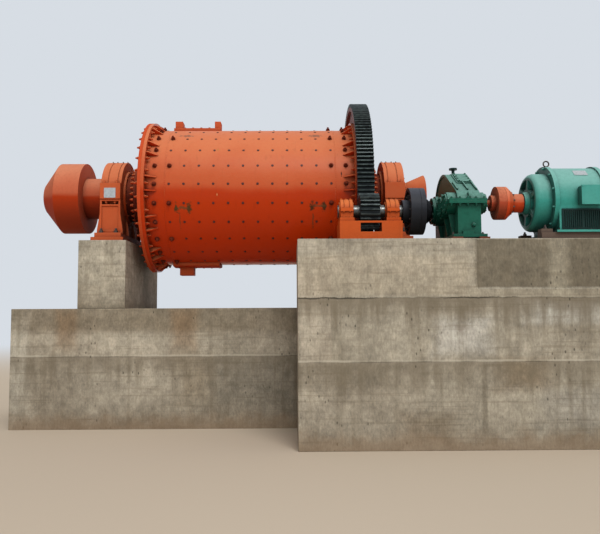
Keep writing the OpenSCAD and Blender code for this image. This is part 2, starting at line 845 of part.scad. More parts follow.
module lifting_eye() {
    eye_r = 40;
    eye_bar = 10;
    eye_lift = motor_ring_r - motor_r + 4;
    seat_z = drive_z + motor_r;
    color("#3A6E62") {
        translate([eye_x, input_y, seat_z + eye_r + eye_bar + eye_lift]) rotate([90, 0, 0])
            rotate_extrude() translate([eye_r, 0]) circle(r = eye_bar);
        intersection() {
            translate([eye_x, input_y, seat_z - 20]) cylinder(r = 22, h = 30 + eye_lift);
            block([eye_x - 50, input_y - 50, seat_z + 0.1], [eye_x + 50, input_y + 50, seat_z + 60]);
        }
    }
}

// Drum.
module drum_shell() {
    color("#C8502D") turned([
        [-shell_end - flange_t, shell_r - shell_t], [-shell_end - flange_t, flange_r],
        [-shell_end, flange_r], [-shell_end, shell_r], [shell_end, shell_r], [shell_end, flange_r],
        [shell_end + flange_t, flange_r], [shell_end + flange_t, shell_r - shell_t]]);
}

// A head from its seat outwards, with dir -1 at the feed end and 1 at the discharge end.
module head_dish(seat, dir) {
    end = seat + head_t + head_cone;
    hub_r = trunnion_flange_d / 2;
    bore_r = trunnion_bore / 2;
    turned([[dir * seat, shell_r - shell_t - 60], [dir * seat, flange_r], [dir * (seat + head_t), flange_r],
            [dir * (seat + head_t), shell_r - 20], [dir * end, hub_r], [dir * end, bore_r],
            [dir * (end - head_t), bore_r], [dir * (end - head_t), hub_r - 30]]);
}

module feed_head() {
    color("#B9441F") head_dish(feed_head_x, -1);
}

module discharge_head() {
    color("#B9441F") head_dish(discharge_head_x, 1);
}

// A trunnion from the head's hub to its outer end.
module trunnion(start, end, dir) {
    turned([[dir * start, trunnion_bore / 2], [dir * start, trunnion_flange_d / 2],
            [dir * (start + trunnion_flange_t), trunnion_flange_d / 2],
            [dir * (start + trunnion_flange_t), journal_r],
            [dir * end, journal_r], [dir * end, trunnion_bore / 2]]);
}

feed_hub = feed_head_x + head_t + head_cone;
discharge_hub = discharge_head_x + head_t + head_cone;
feed_trunnion_end = feed_bearing_x + cap_w / 2 + 40;
discharge_trunnion_end = discharge_bearing_x + cap_w / 2 + 40;

module feed_trunnion() {
    color("#A03C22") trunnion(feed_hub, feed_trunnion_end, -1);
}

module discharge_trunnion() {
    color("#A03C22") trunnion(discharge_hub, discharge_trunnion_end, 1);
}

module flange_ribs(dir) {
    for (i = [0 : rib_pairs - 1]) {
        for (side = [-1, 1]) {
            turn = 90 - row_turn - i * 360 / rib_pairs + side * rib_spread / 2;
            translate([0, 0, axis_z]) rotate([turn, 0, 0]) translate([0, rib_t / 2, 0]) rotate([90, 0, 0])
                linear_extrude(rib_t)
                    polygon([[dir * shell_end, shell_r], [dir * shell_end, shell_r + rib_h],
                             [dir * (shell_end - 30), shell_r + rib_h],
                             [dir * (shell_end - rib_len), shell_r + 12],
                             [dir * (shell_end - rib_len), shell_r]]);
        }
    }
}

module feed_flange_ribs() {
    color("#C8502D") flange_ribs(-1);
}

module drive_flange_ribs() {
    color("#C8502D") flange_ribs(1);
}

module girth_gear() {
    hub_r = shell_r - 100;
    tooth_turn = mesh_angle + 180 / gear_teeth;
    color("#3C4B48") {
        translate([gear_x, 0, axis_z]) along_x() difference() {
            linear_extrude(gear_face) gear_outline(gear_teeth, tooth_turn, 3);
            translate([0, 0, -fuse]) cylinder(r = gear_rim_r, h = gear_face + 2 * fuse);
        }
        turned([[web_x, hub_r], [web_x, gear_rim_r + fuse], [web_x + web_t, gear_rim_r + fuse],
                [web_x + web_t, hub_r]]);
    }
}

// Ribs that brace the gear rim against its web, and the two bolted joints of its halves.
module gear_ribs() {
    rib_n = 16;
    rib_x = web_x + web_t;
    rib_end = gear_x + gear_face - 15;
    rib_r0 = flange_r + 20;
    rib_r1 = gear_rim_r - 1;
    joint_t = 90;
    color("#C8502D") translate([0, 0, axis_z]) for (i = [0 : rib_n - 1]) {
        t = i % (rib_n / 2) == 0 ? joint_t : rib_t;
        rotate([mesh_angle + (i + 0.5) * 360 / rib_n, 0, 0]) translate([0, t / 2, 0]) rotate([90, 0, 0])
            linear_extrude(t) polygon([[rib_x, rib_r0], [rib_x + 25, rib_r0], [rib_end, rib_r1 - 40],
                                       [rib_end, rib_r1], [rib_x, rib_r1]]);
    }
}

// Bolted manhole cover on the drum at the angle `turn` from the top. Each of its lugs runs
// between two distances from the end of the cover.
module manhole(turn, lugs) {
    $fn = 400;
    cover_half = 260;
    lug_half = 110;
    x0 = -shell_end + manhole_inset - manhole_len / 2;
    translate([0, 0, axis_z]) rotate([turn, 0, 0]) difference() {
        union() {
            intersection() {
                translate([x0, 0, 0]) along_x() cylinder(r = shell_r + manhole_rise, h = manhole_len);
                block([x0, -cover_half, 0], [x0 + manhole_len, cover_half, shell_d]);
            }
            for (lug = lugs) {
                block([x0 + lug[0], -lug_half, shell_r], [x0 + lug[1], lug_half, shell_r + lug_rise]);
            }
        }
        translate([x0 - fuse, 0, 0]) along_x() cylinder(r = shell_r, h = manhole_len + 2 * fuse);
    }
}

module manhole_top() {
    color("#C8502D") manhole(0, [[0, 133], [manhole_len - 109, manhole_len]]);
}

module manhole_bottom() {
    color("#B9441F") manhole(180, [[100, 350]]);
}

// Feeder and trumpet.
module feeder_drum() {
    neck_start = -feed_trunnion_end;
    plate_x = -feed_bearing_x - cap_w / 2 - feeder_gap;
    drum_end = plate_x - feeder_len;
    mouth_x = drum_end - feeder_cone;
    outer_r = feeder_d / 2;
    bore_r = trunnion_bore / 2;
    color("#D0603F") turned([
        [neck_start, bore_r], [neck_start, neck_d / 2], [plate_x, neck_d / 2], [plate_x, outer_r],
        [drum_end, outer_r], [mouth_x, feeder_mouth / 2], [mouth_x, feeder_mouth / 2 - feeder_t],
        [drum_end, outer_r - feeder_t], [plate_x - feeder_t, outer_r - feeder_t],
        [plate_x - feeder_t, bore_r]]);
}

module discharge_trumpet() {
    neck_r = trumpet_neck_d / 2;
    wall = 20;
    flare_x = discharge_trunnion_end + 50;
    lip_x = flare_x + trumpet_len;
    lip_r = trumpet_d / 2;
    color("#D0603F") turned([
        [discharge_trunnion_end, neck_r - wall], [discharge_trunnion_end, neck_r + 40],
        [discharge_trunnion_end + 25, neck_r + 40], [discharge_trunnion_end + 25, neck_r], [flare_x, neck_r],
        [lip_x, lip_r], [lip_x, lip_r - wall], [flare_x, neck_r - wall]]);
}

// Pinion line.
module pinion() {
    tooth_turn = mesh_angle + 180;
    color("#3C4B48") translate([pinion_x, drive_y, drive_z]) along_x() difference() {
        linear_extrude(pinion_face) gear_outline(pinion_teeth, tooth_turn, 5);
        translate([0, 0, -fuse]) cylinder(r = pinion_shaft_d / 2, h = pinion_face + 2 * fuse);
    }
}

module pinion_shaft() {
    shaft_start = housing_near_x - 36;
    shaft_end = big_coupling_x + near_disc_w;
    color("#4A5550") rod(shaft_start, shaft_end, pinion_shaft_d / 2, drive_y, drive_z);
}

module coupling_pinion_half() {
    disc_r = big_coupling_d / 2;
    rim = 60;
    face_depth = 35;
    color("#3C3C41") difference() {
        turned([[big_coupling_x - big_hub_len, pinion_shaft_d / 2],
                [big_coupling_x - big_hub_len, big_hub_r],
                [big_coupling_x + face_depth, big_hub_r], [big_coupling_x + face_depth, disc_r - rim],
                [big_coupling_x, disc_r - rim], [big_coupling_x, disc_r],
                [big_coupling_x + near_disc_w, disc_r], [big_coupling_x + near_disc_w, pinion_shaft_d / 2]],
               drive_y, drive_z);
    }
}

module coupling_reducer_half() {
    disc_r = big_coupling_d / 2;
    color("#3C3C41") {
        turned([[far_disc_x, 0], [far_disc_x, disc_r], [far_disc_x + far_disc_w, disc_r],
                [far_disc_x + far_disc_w + 40, big_hub_r + 30], [big_hub_end - 8, big_hub_r - 30],
                [big_hub_end - 8, output_shaft_d / 2], [boss_x0 + shaft_entry - fuse, output_shaft_d / 2],
                [boss_x0 + shaft_entry - fuse, 0]], drive_y, drive_z);
        rod(far_disc_x - disc_gap, far_disc_x + fuse, 80, drive_y, drive_z);
    }
}

module motor_coupling_reducer_half() {
    disc_r = motor_coupling_d / 2;
    color("#C8502D") {
        turned([[boss_x1 - shaft_entry + fuse, 0], [boss_x1 - shaft_entry + fuse, input_shaft_d / 2],
                [motor_coupling_x - 70, input_shaft_d / 2], [motor_coupling_x - 70, motor_hub_r - 20],
                [motor_coupling_x, motor_hub_r - 20],
                [motor_coupling_x, disc_r], [motor_coupling_x + motor_disc_w, disc_r],
                [motor_coupling_x + motor_disc_w, 0]], input_y, drive_z);
        rod(motor_coupling_x + motor_disc_w - fuse, motor_disc2_x, 40, input_y, drive_z);
    }
}

module motor_coupling_motor_half() {
    disc_r = motor_coupling_d / 2;
    hub_start = motor_disc2_x + motor_disc_w;
    hub_end = motor_x - shield_boss_len - 10;
    color("#C8502D") turned([
        [motor_disc2_x, 0], [motor_disc2_x, disc_r], [motor_disc2_x + motor_disc_w / 3, disc_r],
        [hub_start, disc_r - 70], [hub_start, motor_hub_r], [hub_end, motor_hub_r],
        [hub_end, input_shaft_d / 2], [motor_x + shaft_entry - fuse, input_shaft_d / 2],
        [motor_x + shaft_entry - fuse, 0]], input_y, drive_z);
}

plinth();
feed_pier();
drive_block();
discharge_pier();
feed_bearing_base();
feed_bearing_cap();
discharge_bearing_base();
discharge_bearing_cap();
pinion_base();
pinion_housing_near();
pinion_housing_far();
reducer_base();
reducer_lower_case();
reducer_upper_case();
inspection_cover();
breather();
output_bearing_caps();
input_bearing_caps();
motor_rails();
motor_frame();
motor_drive_shield();
motor_rear_shield();
terminal_box();
motor_grilles();
lifting_eye();
drum_shell();
feed_head();
discharge_head();
feed_trunnion();
discharge_trunnion();
feed_flange_ribs();
drive_flange_ribs();
girth_gear();
gear_ribs();
manhole_top();
manhole_bottom();
feeder_drum();
discharge_trumpet();
pinion();
pinion_shaft();
coupling_pinion_half();
coupling_reducer_half();
motor_coupling_reducer_half();
motor_coupling_motor_half();
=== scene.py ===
from math import cos, pi, radians, sin
from random import Random

import bpy
from mathutils import Matrix, Vector


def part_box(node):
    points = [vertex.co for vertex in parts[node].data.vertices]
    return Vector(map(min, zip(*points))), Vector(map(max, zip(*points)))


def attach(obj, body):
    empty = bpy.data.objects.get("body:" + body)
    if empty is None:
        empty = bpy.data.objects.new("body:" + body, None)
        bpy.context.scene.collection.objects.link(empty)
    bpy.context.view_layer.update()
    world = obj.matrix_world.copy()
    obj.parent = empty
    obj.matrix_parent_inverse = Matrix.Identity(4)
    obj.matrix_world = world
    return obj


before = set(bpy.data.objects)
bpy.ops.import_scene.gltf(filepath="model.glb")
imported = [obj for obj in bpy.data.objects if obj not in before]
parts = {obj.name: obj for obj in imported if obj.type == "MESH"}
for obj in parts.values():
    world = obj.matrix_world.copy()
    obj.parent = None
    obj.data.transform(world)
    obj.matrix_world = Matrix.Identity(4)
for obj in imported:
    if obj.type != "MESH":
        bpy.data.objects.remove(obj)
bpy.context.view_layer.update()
print("stage: frame loaded,", len(parts), "parts")

# The main stations of the machine, in metres, as the frame has them.
mill = {
    "axisZ": 3.95,
    "shellRadius": 1.225,
    "shellEnd": 1.739,
    "driveY": -1.8606,
    "inputY": -2.6106,
    "driveZ": 3.415,
    "rowStart": 1.8,  # angle of the first bolt row over the horizon, on the drive side
}


# Colours and shader nodes
def linear(hexText):
    channels = [int(hexText[i:i + 2], 16) / 255 for i in (1, 3, 5)]
    return [c / 12.92 if c <= 0.04045 else ((c + 0.055) / 1.055) ** 2.4 for c in channels] + [1.0]


def addNode(tree, kind, settings=None, inputs=None, output=0):
    made = tree.nodes.new(kind)
    for key, value in (settings or {}).items():
        setattr(made, key, value)
    for key, value in (inputs or {}).items():
        socket = made.inputs[key]
        if isinstance(value, bpy.types.NodeSocket):
            tree.links.new(value, socket)
        else:
            socket.default_value = value
    return made.outputs[output]


# Settings that many nodes share
smooth = {"interpolation_type": "SMOOTHSTEP"}
inColour = {"data_type": "RGBA"}
overlay = {"data_type": "RGBA", "blend_type": "OVERLAY"}
plus, minus = {"operation": "ADD"}, {"operation": "SUBTRACT"}
times, over = {"operation": "MULTIPLY"}, {"operation": "DIVIDE"}
timesPlus, lessThan = {"operation": "MULTIPLY_ADD"}, {"operation": "LESS_THAN"}
absolute, larger = {"operation": "ABSOLUTE"}, {"operation": "MAXIMUM"}
lengthOf = {"operation": "LENGTH"}


# A new material, its node tree and the place on the part that its patterns read
def startMaterial(name):
    material = bpy.data.materials.new(name)
    material.use_nodes = True
    tree = material.node_tree
    tree.nodes.clear()
    return material, tree, addNode(tree, "ShaderNodeTexCoord", output=3)


def endMaterial(material, shader):
    tree = material.node_tree
    out = tree.nodes.new("ShaderNodeOutputMaterial")
    tree.links.new(shader, out.inputs["Surface"])
    return material


# A point on the shell from its place along the axis and its angle over the horizon
def onShell(x, degrees):
    r = mill["shellRadius"]
    return (x, -r * cos(radians(degrees)), mill["axisZ"] + r * sin(radians(degrees)))


# Enamel brushed over steel. Dust pales the sides that face up and a painted sky reflection pales them
# further; grease and soot sit in the corners with painted shade, painted shade darkens the undersides,
# the recesses and the faces towards the feed side, and the gloss is that of a thick alkyd coat.
def enamelOverSteel(look):
    material, tree, place = startMaterial(look["name"])
    facing = addNode(tree, "ShaderNodeTexCoord", output=1)
    up = addNode(tree, "ShaderNodeSeparateXYZ", None, {0: facing}, 2)
    patches = addNode(tree, "ShaderNodeTexNoise", None, {
        "Vector": place, "Scale": 1000 / look["patchMm"], "Detail": 6.0, "Roughness": 0.6})
    # The first pale layer is a painted reflection of the sky on faces that look up; the second is dust.
    pale = []
    for kind, share in (("skyPaleness", 0.2), ("dust", 0.7)):
        start, end, most = look[kind]
        upward = addNode(tree, "ShaderNodeMath", timesPlus, {0: patches, 1: share, 2: up})
        pale.append(addNode(tree, "ShaderNodeMapRange", smooth, {
            "Value": upward, "From Min": start + share / 2, "From Max": end + share / 2, "To Max": most}))
    fade = addNode(tree, "ShaderNodeMath", plus, {0: pale[0], 1: pale[1]})
    colour = addNode(tree, "ShaderNodeMix", inColour, {
        0: fade, 6: linear(look["paint"]), 7: linear(look["dustAndSheen"])}, 2)
    # Faces that look down take the deep tone: painted shade, and painted bounce light from the ground.
    underside = addNode(tree, "ShaderNodeMapRange", smooth, {
        "Value": up, "From Min": 0.15, "From Max": -0.8, "To Max": look["shade"]})
    mottle = addNode(tree, "ShaderNodeTexNoise", None, {
        "Vector": place, "Scale": 1000 / look["mottleMm"], "Detail": 4.0})
    mottled = addNode(tree, "ShaderNodeMapRange", None, {
        "Value": mottle, "From Min": 0.45, "From Max": 0.75, "To Max": look["mottle"]})
    drawn = addNode(tree, "ShaderNodeVectorMath", times, {0: place, 1: (14, 14, 0.9)})
    runs = addNode(tree, "ShaderNodeTexNoise", None, {"Vector": drawn, "Scale": 1.0, "Detail": 3.0})
    run = addNode(tree, "ShaderNodeMapRange", smooth, {
        "Value": runs, "From Min": 0.58, "From Max": 0.78, "To Max": look["runs"]})
    layers = [(underside, "deep"), (mottled, "deep"), (run, "grimeAndShade")]
    layers = [(amount, look[tone]) for amount, tone in layers]
    for x, degrees, reach, strength, tone in look.get("marks", []):
        offset = addNode(tree, "ShaderNodeVectorMath", minus, {0: place, 1: onShell(x, degrees)})
        spread = addNode(tree, "ShaderNodeVectorMath", over, {0: offset, 1: reach})
        distance = addNode(tree, "ShaderNodeVectorMath", lengthOf, {0: spread}, 1)
        ragged = addNode(tree, "ShaderNodeMath", timesPlus, {0: mottle, 1: 2.4, 2: distance})
        layers.append((addNode(tree, "ShaderNodeMapRange", smooth, {
            "Value": ragged, "From Min": 2.25, "From Max": 1.6, "To Max": strength}), tone))
    # Tight corners darken: grime together with painted shade.
    corner = addNode(tree, "ShaderNodeAmbientOcclusion", {"samples": 2}, {"Distance": 0.07}, 1)
    layers.append((addNode(tree, "ShaderNodeMapRange", None, {
        "Value": corner, "From Min": 0.75, "From Max": 0.25, "To Max": look["cornerGrimeAndShade"]}), look["grimeAndShade"]))
    # Painted shade in recesses and between parts, strongest low down, under the mill's axis.
    recess = addNode(tree, "ShaderNodeAmbientOcclusion", {"samples": 2}, {"Distance": 0.6}, 1)
    height = addNode(tree, "ShaderNodeSeparateXYZ", None, {0: place}, 2)
    layers.append((addNode(tree, "ShaderNodeMath", times, {
        0: addNode(tree, "ShaderNodeMapRange", None, {
            "Value": recess, "From Min": 0.6, "From Max": 0.12, "To Max": look["recessShade"]}),
        1: addNode(tree, "ShaderNodeMapRange", smooth, {
            "Value": height, "From Min": 4.6, "From Max": 3.7, "To Min": 0.35})}), look["grimeAndShade"]))
    # Painted shade on the faces that look towards the feed side.
    if "feedFacingShade" in look:
        layers.append((addNode(tree, "ShaderNodeMapRange", smooth, {
            "Value": addNode(tree, "ShaderNodeSeparateXYZ", None, {0: facing}),
            "From Min": -0.88, "From Max": -0.98, "To Max": look["feedFacingShade"]}), look["grimeAndShade"]))
    # Outside the given radius from the mill's axis the paint is clean and keeps its lit colour, without the
    # soot and painted shade.
    if "cleanAndLitFrom" in look:
        offset = addNode(tree, "ShaderNodeVectorMath", minus, {0: place, 1: (0, 0, mill["axisZ"])})
        across = addNode(tree, "ShaderNodeVectorMath", times, {0: offset, 1: (0, 1, 1)})
        radius = addNode(tree, "ShaderNodeVectorMath", lengthOf, {0: across}, 1)
        layers.append((addNode(tree, "ShaderNodeMapRange", smooth, {
            "Value": radius, "From Min": look["cleanAndLitFrom"], "From Max": look["cleanAndLitFrom"] + 0.2}),
            look["cleanAndLit"]))
    rounded = addNode(tree, "ShaderNodeBevel", {"samples": 2}, {"Radius": 0.006})
    edge = addNode(tree, "ShaderNodeVectorMath", {"operation": "DOT_PRODUCT"}, {
        0: rounded, 1: addNode(tree, "ShaderNodeNewGeometry", output=1)}, 1)
    layers.append((addNode(tree, "ShaderNodeMath", times, {
        0: addNode(tree, "ShaderNodeMapRange", None, {"Value": edge, "From Min": 0.98, "From Max": 0.85}),
        1: addNode(tree, "ShaderNodeMapRange", None, {
            "Value": mottle, "From Min": 0.5, "From Max": 0.6, "To Max": look["wear"]})}), look["worn"]))
    for amount, tone in layers:
        colour = addNode(tree, "ShaderNodeMix", inColour, {0: amount, 6: colour, 7: linear(tone)}, 2)
    roughness = addNode(tree, "ShaderNodeMapRange", None, {
        "Value": upward, "From Min": 0.25, "From Max": 0.9,
        "To Min": look["roughness"][0], "To Max": look["roughness"][1]})
    brushed = addNode(tree, "ShaderNodeTexNoise", None, {
        "Vector": place, "Scale": 45.0, "Detail": 3.0})  # brush marks 20 mm apart, coarser than real
    relief = addNode(tree, "ShaderNodeBump", None, {"Strength": 0.25, "Distance": 0.0015, "Height": brushed})
    return endMaterial(material, addNode(tree, "ShaderNodeBsdfPrincipled", None, {
        "Base Color": colour, "Roughness": roughness, "IOR": 1.5, "Specular IOR Level": 0.12,
        "Normal": relief}))


# Concrete cast in lifts against plywood: pale laitance at the joints, dark runs of rain and
# bleed water, pores and panel tones.
def castConcrete(look):
    material, tree, place = startMaterial(look["name"])
    facing = addNode(tree, "ShaderNodeTexCoord", output=1)
    up = addNode(tree, "ShaderNodeSeparateXYZ", None, {0: facing}, 2)
    height = addNode(tree, "ShaderNodeSeparateXYZ", None, {0: place}, 2)
    cloud = addNode(tree, "ShaderNodeTexNoise", None, {
        "Vector": place, "Scale": 0.9, "Detail": 8.0, "Roughness": 0.62, "Distortion": 0.4})
    tone = addNode(tree, "ShaderNodeMapRange", None, {"Value": cloud, "From Min": 0.38, "From Max": 0.62})
    colour = addNode(tree, "ShaderNodeMix", inColour, {
        0: tone, 6: linear(look["dark"]), 7: linear(look["pale"])}, 2)
    board = addNode(tree, "ShaderNodeVectorMath", {"operation": "SNAP"}, {0: place, 1: look["panel"]})
    panel = addNode(tree, "ShaderNodeTexWhiteNoise", None, {"Vector": board})
    layers = [(addNode(tree, "ShaderNodeMapRange", None, {"Value": panel, "To Max": 0.35}), look["green"])]
    wobble = addNode(tree, "ShaderNodeTexNoise", None, {
        "Vector": place, "Scale": 3.6, "Detail": 8.0, "Roughness": 0.72})
    for x, z, halfWide, halfHigh, torn, soft, strength, tone in look["bands"]:
        offset = addNode(tree, "ShaderNodeVectorMath", minus, {0: place, 1: (x, 0, z)})
        spread = addNode(tree, "ShaderNodeVectorMath", over, {0: offset, 1: (halfWide, 9, halfHigh)})
        sides = tree.nodes.new("ShaderNodeSeparateXYZ")
        tree.links.new(addNode(tree, "ShaderNodeVectorMath", absolute, {0: spread}), sides.inputs[0])
        furthest = addNode(tree, "ShaderNodeMath", larger, {0: sides.outputs[0], 1: sides.outputs[2]})
        ragged = addNode(tree, "ShaderNodeMath", timesPlus, {0: wobble, 1: torn, 2: furthest})
        layers.append((addNode(tree, "ShaderNodeMapRange", smooth, {
            "Value": ragged, "From Min": 1 + soft + torn / 2, "From Max": 1 - soft + torn / 2,
            "To Max": strength}), tone))
    for amount, tone in layers:
        colour = addNode(tree, "ShaderNodeMix", inColour, {0: amount, 6: colour, 7: linear(tone)}, 2)
    # Trowel and form marks: cement paste against sand, at 150 mm and at 20 mm
    blotch = addNode(tree, "ShaderNodeTexNoise", None, {
        "Vector": place, "Scale": 6.5, "Detail": 8.0, "Roughness": 0.7})
    drawn = addNode(tree, "ShaderNodeVectorMath", times, {0: place, 1: (40, 40, 16)})
    fine = addNode(tree, "ShaderNodeTexNoise", None, {
        "Vector": drawn, "Scale": 1.0, "Detail": 4.0, "Roughness": 0.6})
    for share, marks in ((0.32, blotch), (0.2, fine)):
        grey = addNode(tree, "ShaderNodeMapRange", None, {"Value": marks, "From Min": 0.3, "From Max": 0.7})
        colour = addNode(tree, "ShaderNodeMix", overlay, {0: share, 6: colour, 7: grey}, 2)
    drawn = addNode(tree, "ShaderNodeVectorMath", times, {0: place, 1: (9, 9, 0.7)})
    streak = addNode(tree, "ShaderNodeTexNoise", None, {"Vector": drawn, "Scale": 1.0, "Detail": 5.0})
    streaks = addNode(tree, "ShaderNodeMapRange", None, {
        "Value": streak, "From Min": 0.5, "From Max": 0.75, "To Max": 0.5})
    drawn = addNode(tree, "ShaderNodeVectorMath", times, {0: place, 1: (1.1, 1.1, 26)})
    boards = addNode(tree, "ShaderNodeTexNoise", None, {"Vector": drawn, "Scale": 1.0, "Detail": 3.0})
    boardMarks = addNode(tree, "ShaderNodeMapRange", None, {
        "Value": boards, "From Min": 0.56, "From Max": 0.7, "To Max": 0.35})
    layers = [(streaks, "wet"), (boardMarks, "wet")]
    breaks = addNode(tree, "ShaderNodeTexNoise", None, {"Vector": place, "Scale": 1.3, "Detail": 4.0})
    whole = addNode(tree, "ShaderNodeMapRange", None, {
        "Value": breaks, "From Min": 0.42, "From Max": 0.56, "To Min": 0.15})
    parted = addNode(tree, "ShaderNodeMapRange", None, {
        "Value": breaks, "From Min": 0.56, "From Max": 0.44, "To Min": 0.3})
    groove = None
    for joint in look["joints"]:
        level = addNode(tree, "ShaderNodeMath", timesPlus, {0: wobble, 1: joint["wobble"], 2: height})
        away = addNode(tree, "ShaderNodeMath", minus, {0: level, 1: joint["z"] + joint["wobble"] / 2})
        run = addNode(tree, "ShaderNodeMath", timesPlus, {0: streak, 1: 0.9, 2: away})
        bleed = addNode(tree, "ShaderNodeMath", times, {
            0: addNode(tree, "ShaderNodeMapRange", smooth, {
                "Value": run, "From Min": 0.0, "From Max": 0.42, "To Max": joint["bleed"]}),
            1: addNode(tree, "ShaderNodeMath", lessThan, {0: away, 1: 0.0})})
        above = addNode(tree, "ShaderNodeMath", minus, {0: away, 1: 0.014})
        lime = addNode(tree, "ShaderNodeMath", times, {
            0: whole, 1: addNode(tree, "ShaderNodeMapRange", smooth, {
                "Value": addNode(tree, "ShaderNodeMath", absolute, {0: above}),
                "From Min": 0.024, "From Max": 0.005, "To Max": joint["lime"]})})
        line = addNode(tree, "ShaderNodeMath", times, {
            0: parted, 1: addNode(tree, "ShaderNodeMapRange", smooth, {
                "Value": addNode(tree, "ShaderNodeMath", absolute, {0: away}),
                "From Min": joint["open"], "From Max": 0.003, "To Max": joint["crack"]})})
        layers += [(bleed, "wet"), (lime, "lime"), (line, "crack")]
        groove = line if groove is None else addNode(tree, "ShaderNodeMath", larger, {0: groove, 1: line})
    drawn = addNode(tree, "ShaderNodeVectorMath", times, {0: place, 1: (1, 1, 0.5)})
    pore = addNode(tree, "ShaderNodeTexVoronoi", None, {"Vector": drawn, "Scale": 15.0})
    clusters = addNode(tree, "ShaderNodeTexNoise", None, {"Vector": place, "Scale": 1.7, "Detail": 2.0})
    pores = addNode(tree, "ShaderNodeMath", times, {
        0: addNode(tree, "ShaderNodeMapRange", None, {"Value": pore, "From Min": 0.2, "From Max": 0.1}),
        1: addNode(tree, "ShaderNodeMapRange", None, {
            "Value": clusters, "From Min": 0.54, "From Max": 0.62, "To Max": 0.75})})
    # Painted shade where the concrete is hemmed in: beside and under the parts it carries, and on ledges.
    recess = addNode(tree, "ShaderNodeAmbientOcclusion", {"samples": 2}, {"Distance": 1.5}, 1)
    recessShade = addNode(tree, "ShaderNodeMapRange", None, {
        "Value": recess, "From Min": 0.75, "From Max": 0.3, "To Max": 0.5})
    topDust = addNode(tree, "ShaderNodeMapRange", None, {
        "Value": up, "From Min": 0.7, "From Max": 0.95, "To Max": 0.4})
    soil = addNode(tree, "ShaderNodeMapRange", smooth, {
        "Value": addNode(tree, "ShaderNodeMath", timesPlus, {0: wobble, 1: -0.5, 2: height}),
        "From Min": 0.08, "From Max": -0.2, "To Max": 0.55})
    layers += [(pores, "crack"), (recessShade, "recessShade"), (topDust, "lime"), (soil, "soil")]
    for amount, tone in layers:
        colour = addNode(tree, "ShaderNodeMix", inColour, {
            0: amount, 6: colour, 7: linear(look[tone])}, 2)
    sunk = addNode(tree, "ShaderNodeMath", plus, {0: pores, 1: groove})
    surface = addNode(tree, "ShaderNodeMath", minus, {0: fine, 1: sunk})
    relief = addNode(tree, "ShaderNodeBump", None, {"Strength": 0.5, "Distance": 0.006, "Height": surface})
    return endMaterial(material, addNode(tree, "ShaderNodeBsdfPrincipled", None, {
        "Base Color": colour, "Roughness": 0.88, "IOR": 1.45, "Normal": relief}))


# Cast steel teeth under old open-gear grease: near black in the gaps, grey where the teeth
# rub, with the sides of the rim painted.
def greasedGear(look):
    material, tree, place = startMaterial(look["name"])
    facing = addNode(tree, "ShaderNodeTexCoord", output=1)
    offset = addNode(tree, "ShaderNodeVectorMath", minus, {0: place, 1: look["axis"]})
    radial = addNode(tree, "ShaderNodeVectorMath", times, {0: offset, 1: (0, 1, 1)})
    radius = addNode(tree, "ShaderNodeVectorMath", lengthOf, {0: radial}, 1)
    smear = addNode(tree, "ShaderNodeTexNoise", None, {"Vector": place, "Scale": 16.0, "Detail": 5.0})
    film = addNode(tree, "ShaderNodeMapRange", None, {"Value": smear, "From Min": 0.35, "From Max": 0.65})
    steel = addNode(tree, "ShaderNodeMix", inColour, {
        0: film, 6: linear(look["grease"]), 7: linear(look["steel"])}, 2)
    depth = addNode(tree, "ShaderNodeMapRange", None, {
        "Value": radius, "From Min": look["root"], "From Max": look["tip"]})
    colour = addNode(tree, "ShaderNodeMix", inColour, {0: depth, 6: linear(look["grease"]), 7: steel}, 2)
    metal = 0.55
    if "paintedTo" in look:
        painted = addNode(tree, "ShaderNodeMath", lessThan, {0: radius, 1: look["paintedTo"]})
        colour = addNode(tree, "ShaderNodeMix", inColour, {
            0: painted, 6: colour, 7: linear(look["paint"])}, 2)
        metal = addNode(tree, "ShaderNodeMapRange", None, {"Value": painted, "To Min": metal, "To Max": 0.0})
    sideways = addNode(tree, "ShaderNodeMath", absolute, {
        0: addNode(tree, "ShaderNodeSeparateXYZ", None, {0: facing})})
    roughness = addNode(tree, "ShaderNodeMapRange", None, {"Value": film, "To Min": 0.28, "To Max": 0.5})
    rough = addNode(tree, "ShaderNodeMath", timesPlus, {0: sideways, 1: 0.2, 2: roughness})
    relief = addNode(tree, "ShaderNodeBump", None, {"Strength": 0.3, "Distance": 0.001, "Height": smear})
    return endMaterial(material, addNode(tree, "ShaderNodeBsdfPrincipled", None, {
        "Base Color": colour, "Metallic": metal, "Roughness": rough, "Normal": relief}))


# Bare steel of bolts, shafts and plates, with a film of oil and specks of rust.
def bareSteel(look):
    material, tree, place = startMaterial(look["name"])
    speck = addNode(tree, "ShaderNodeTexNoise", None, {
        "Vector": place, "Scale": 1000 / look["speckMm"], "Detail": 5.0})
    rusty = addNode(tree, "ShaderNodeMapRange", None, {
        "Value": speck, "From Min": 0.45, "From Max": 0.62, "To Max": look["rustiness"]})
    colour = addNode(tree, "ShaderNodeMix", inColour, {
        0: rusty, 6: linear(look["steel"]), 7: linear(look["rust"])}, 2)
    roughness = addNode(tree, "ShaderNodeMapRange", None, {
        "Value": speck, "From Min": 0.35, "From Max": 0.7,
        "To Min": look["roughness"][0], "To Max": look["roughness"][1]})
    relief = addNode(tree, "ShaderNodeBump", None, {"Strength": 0.2, "Distance": 0.0008, "Height": speck})
    return endMaterial(material, addNode(tree, "ShaderNodeBsdfPrincipled", None, {
        "Base Color": colour, "Metallic": look["metal"], "Roughness": roughness, "Normal": relief}))


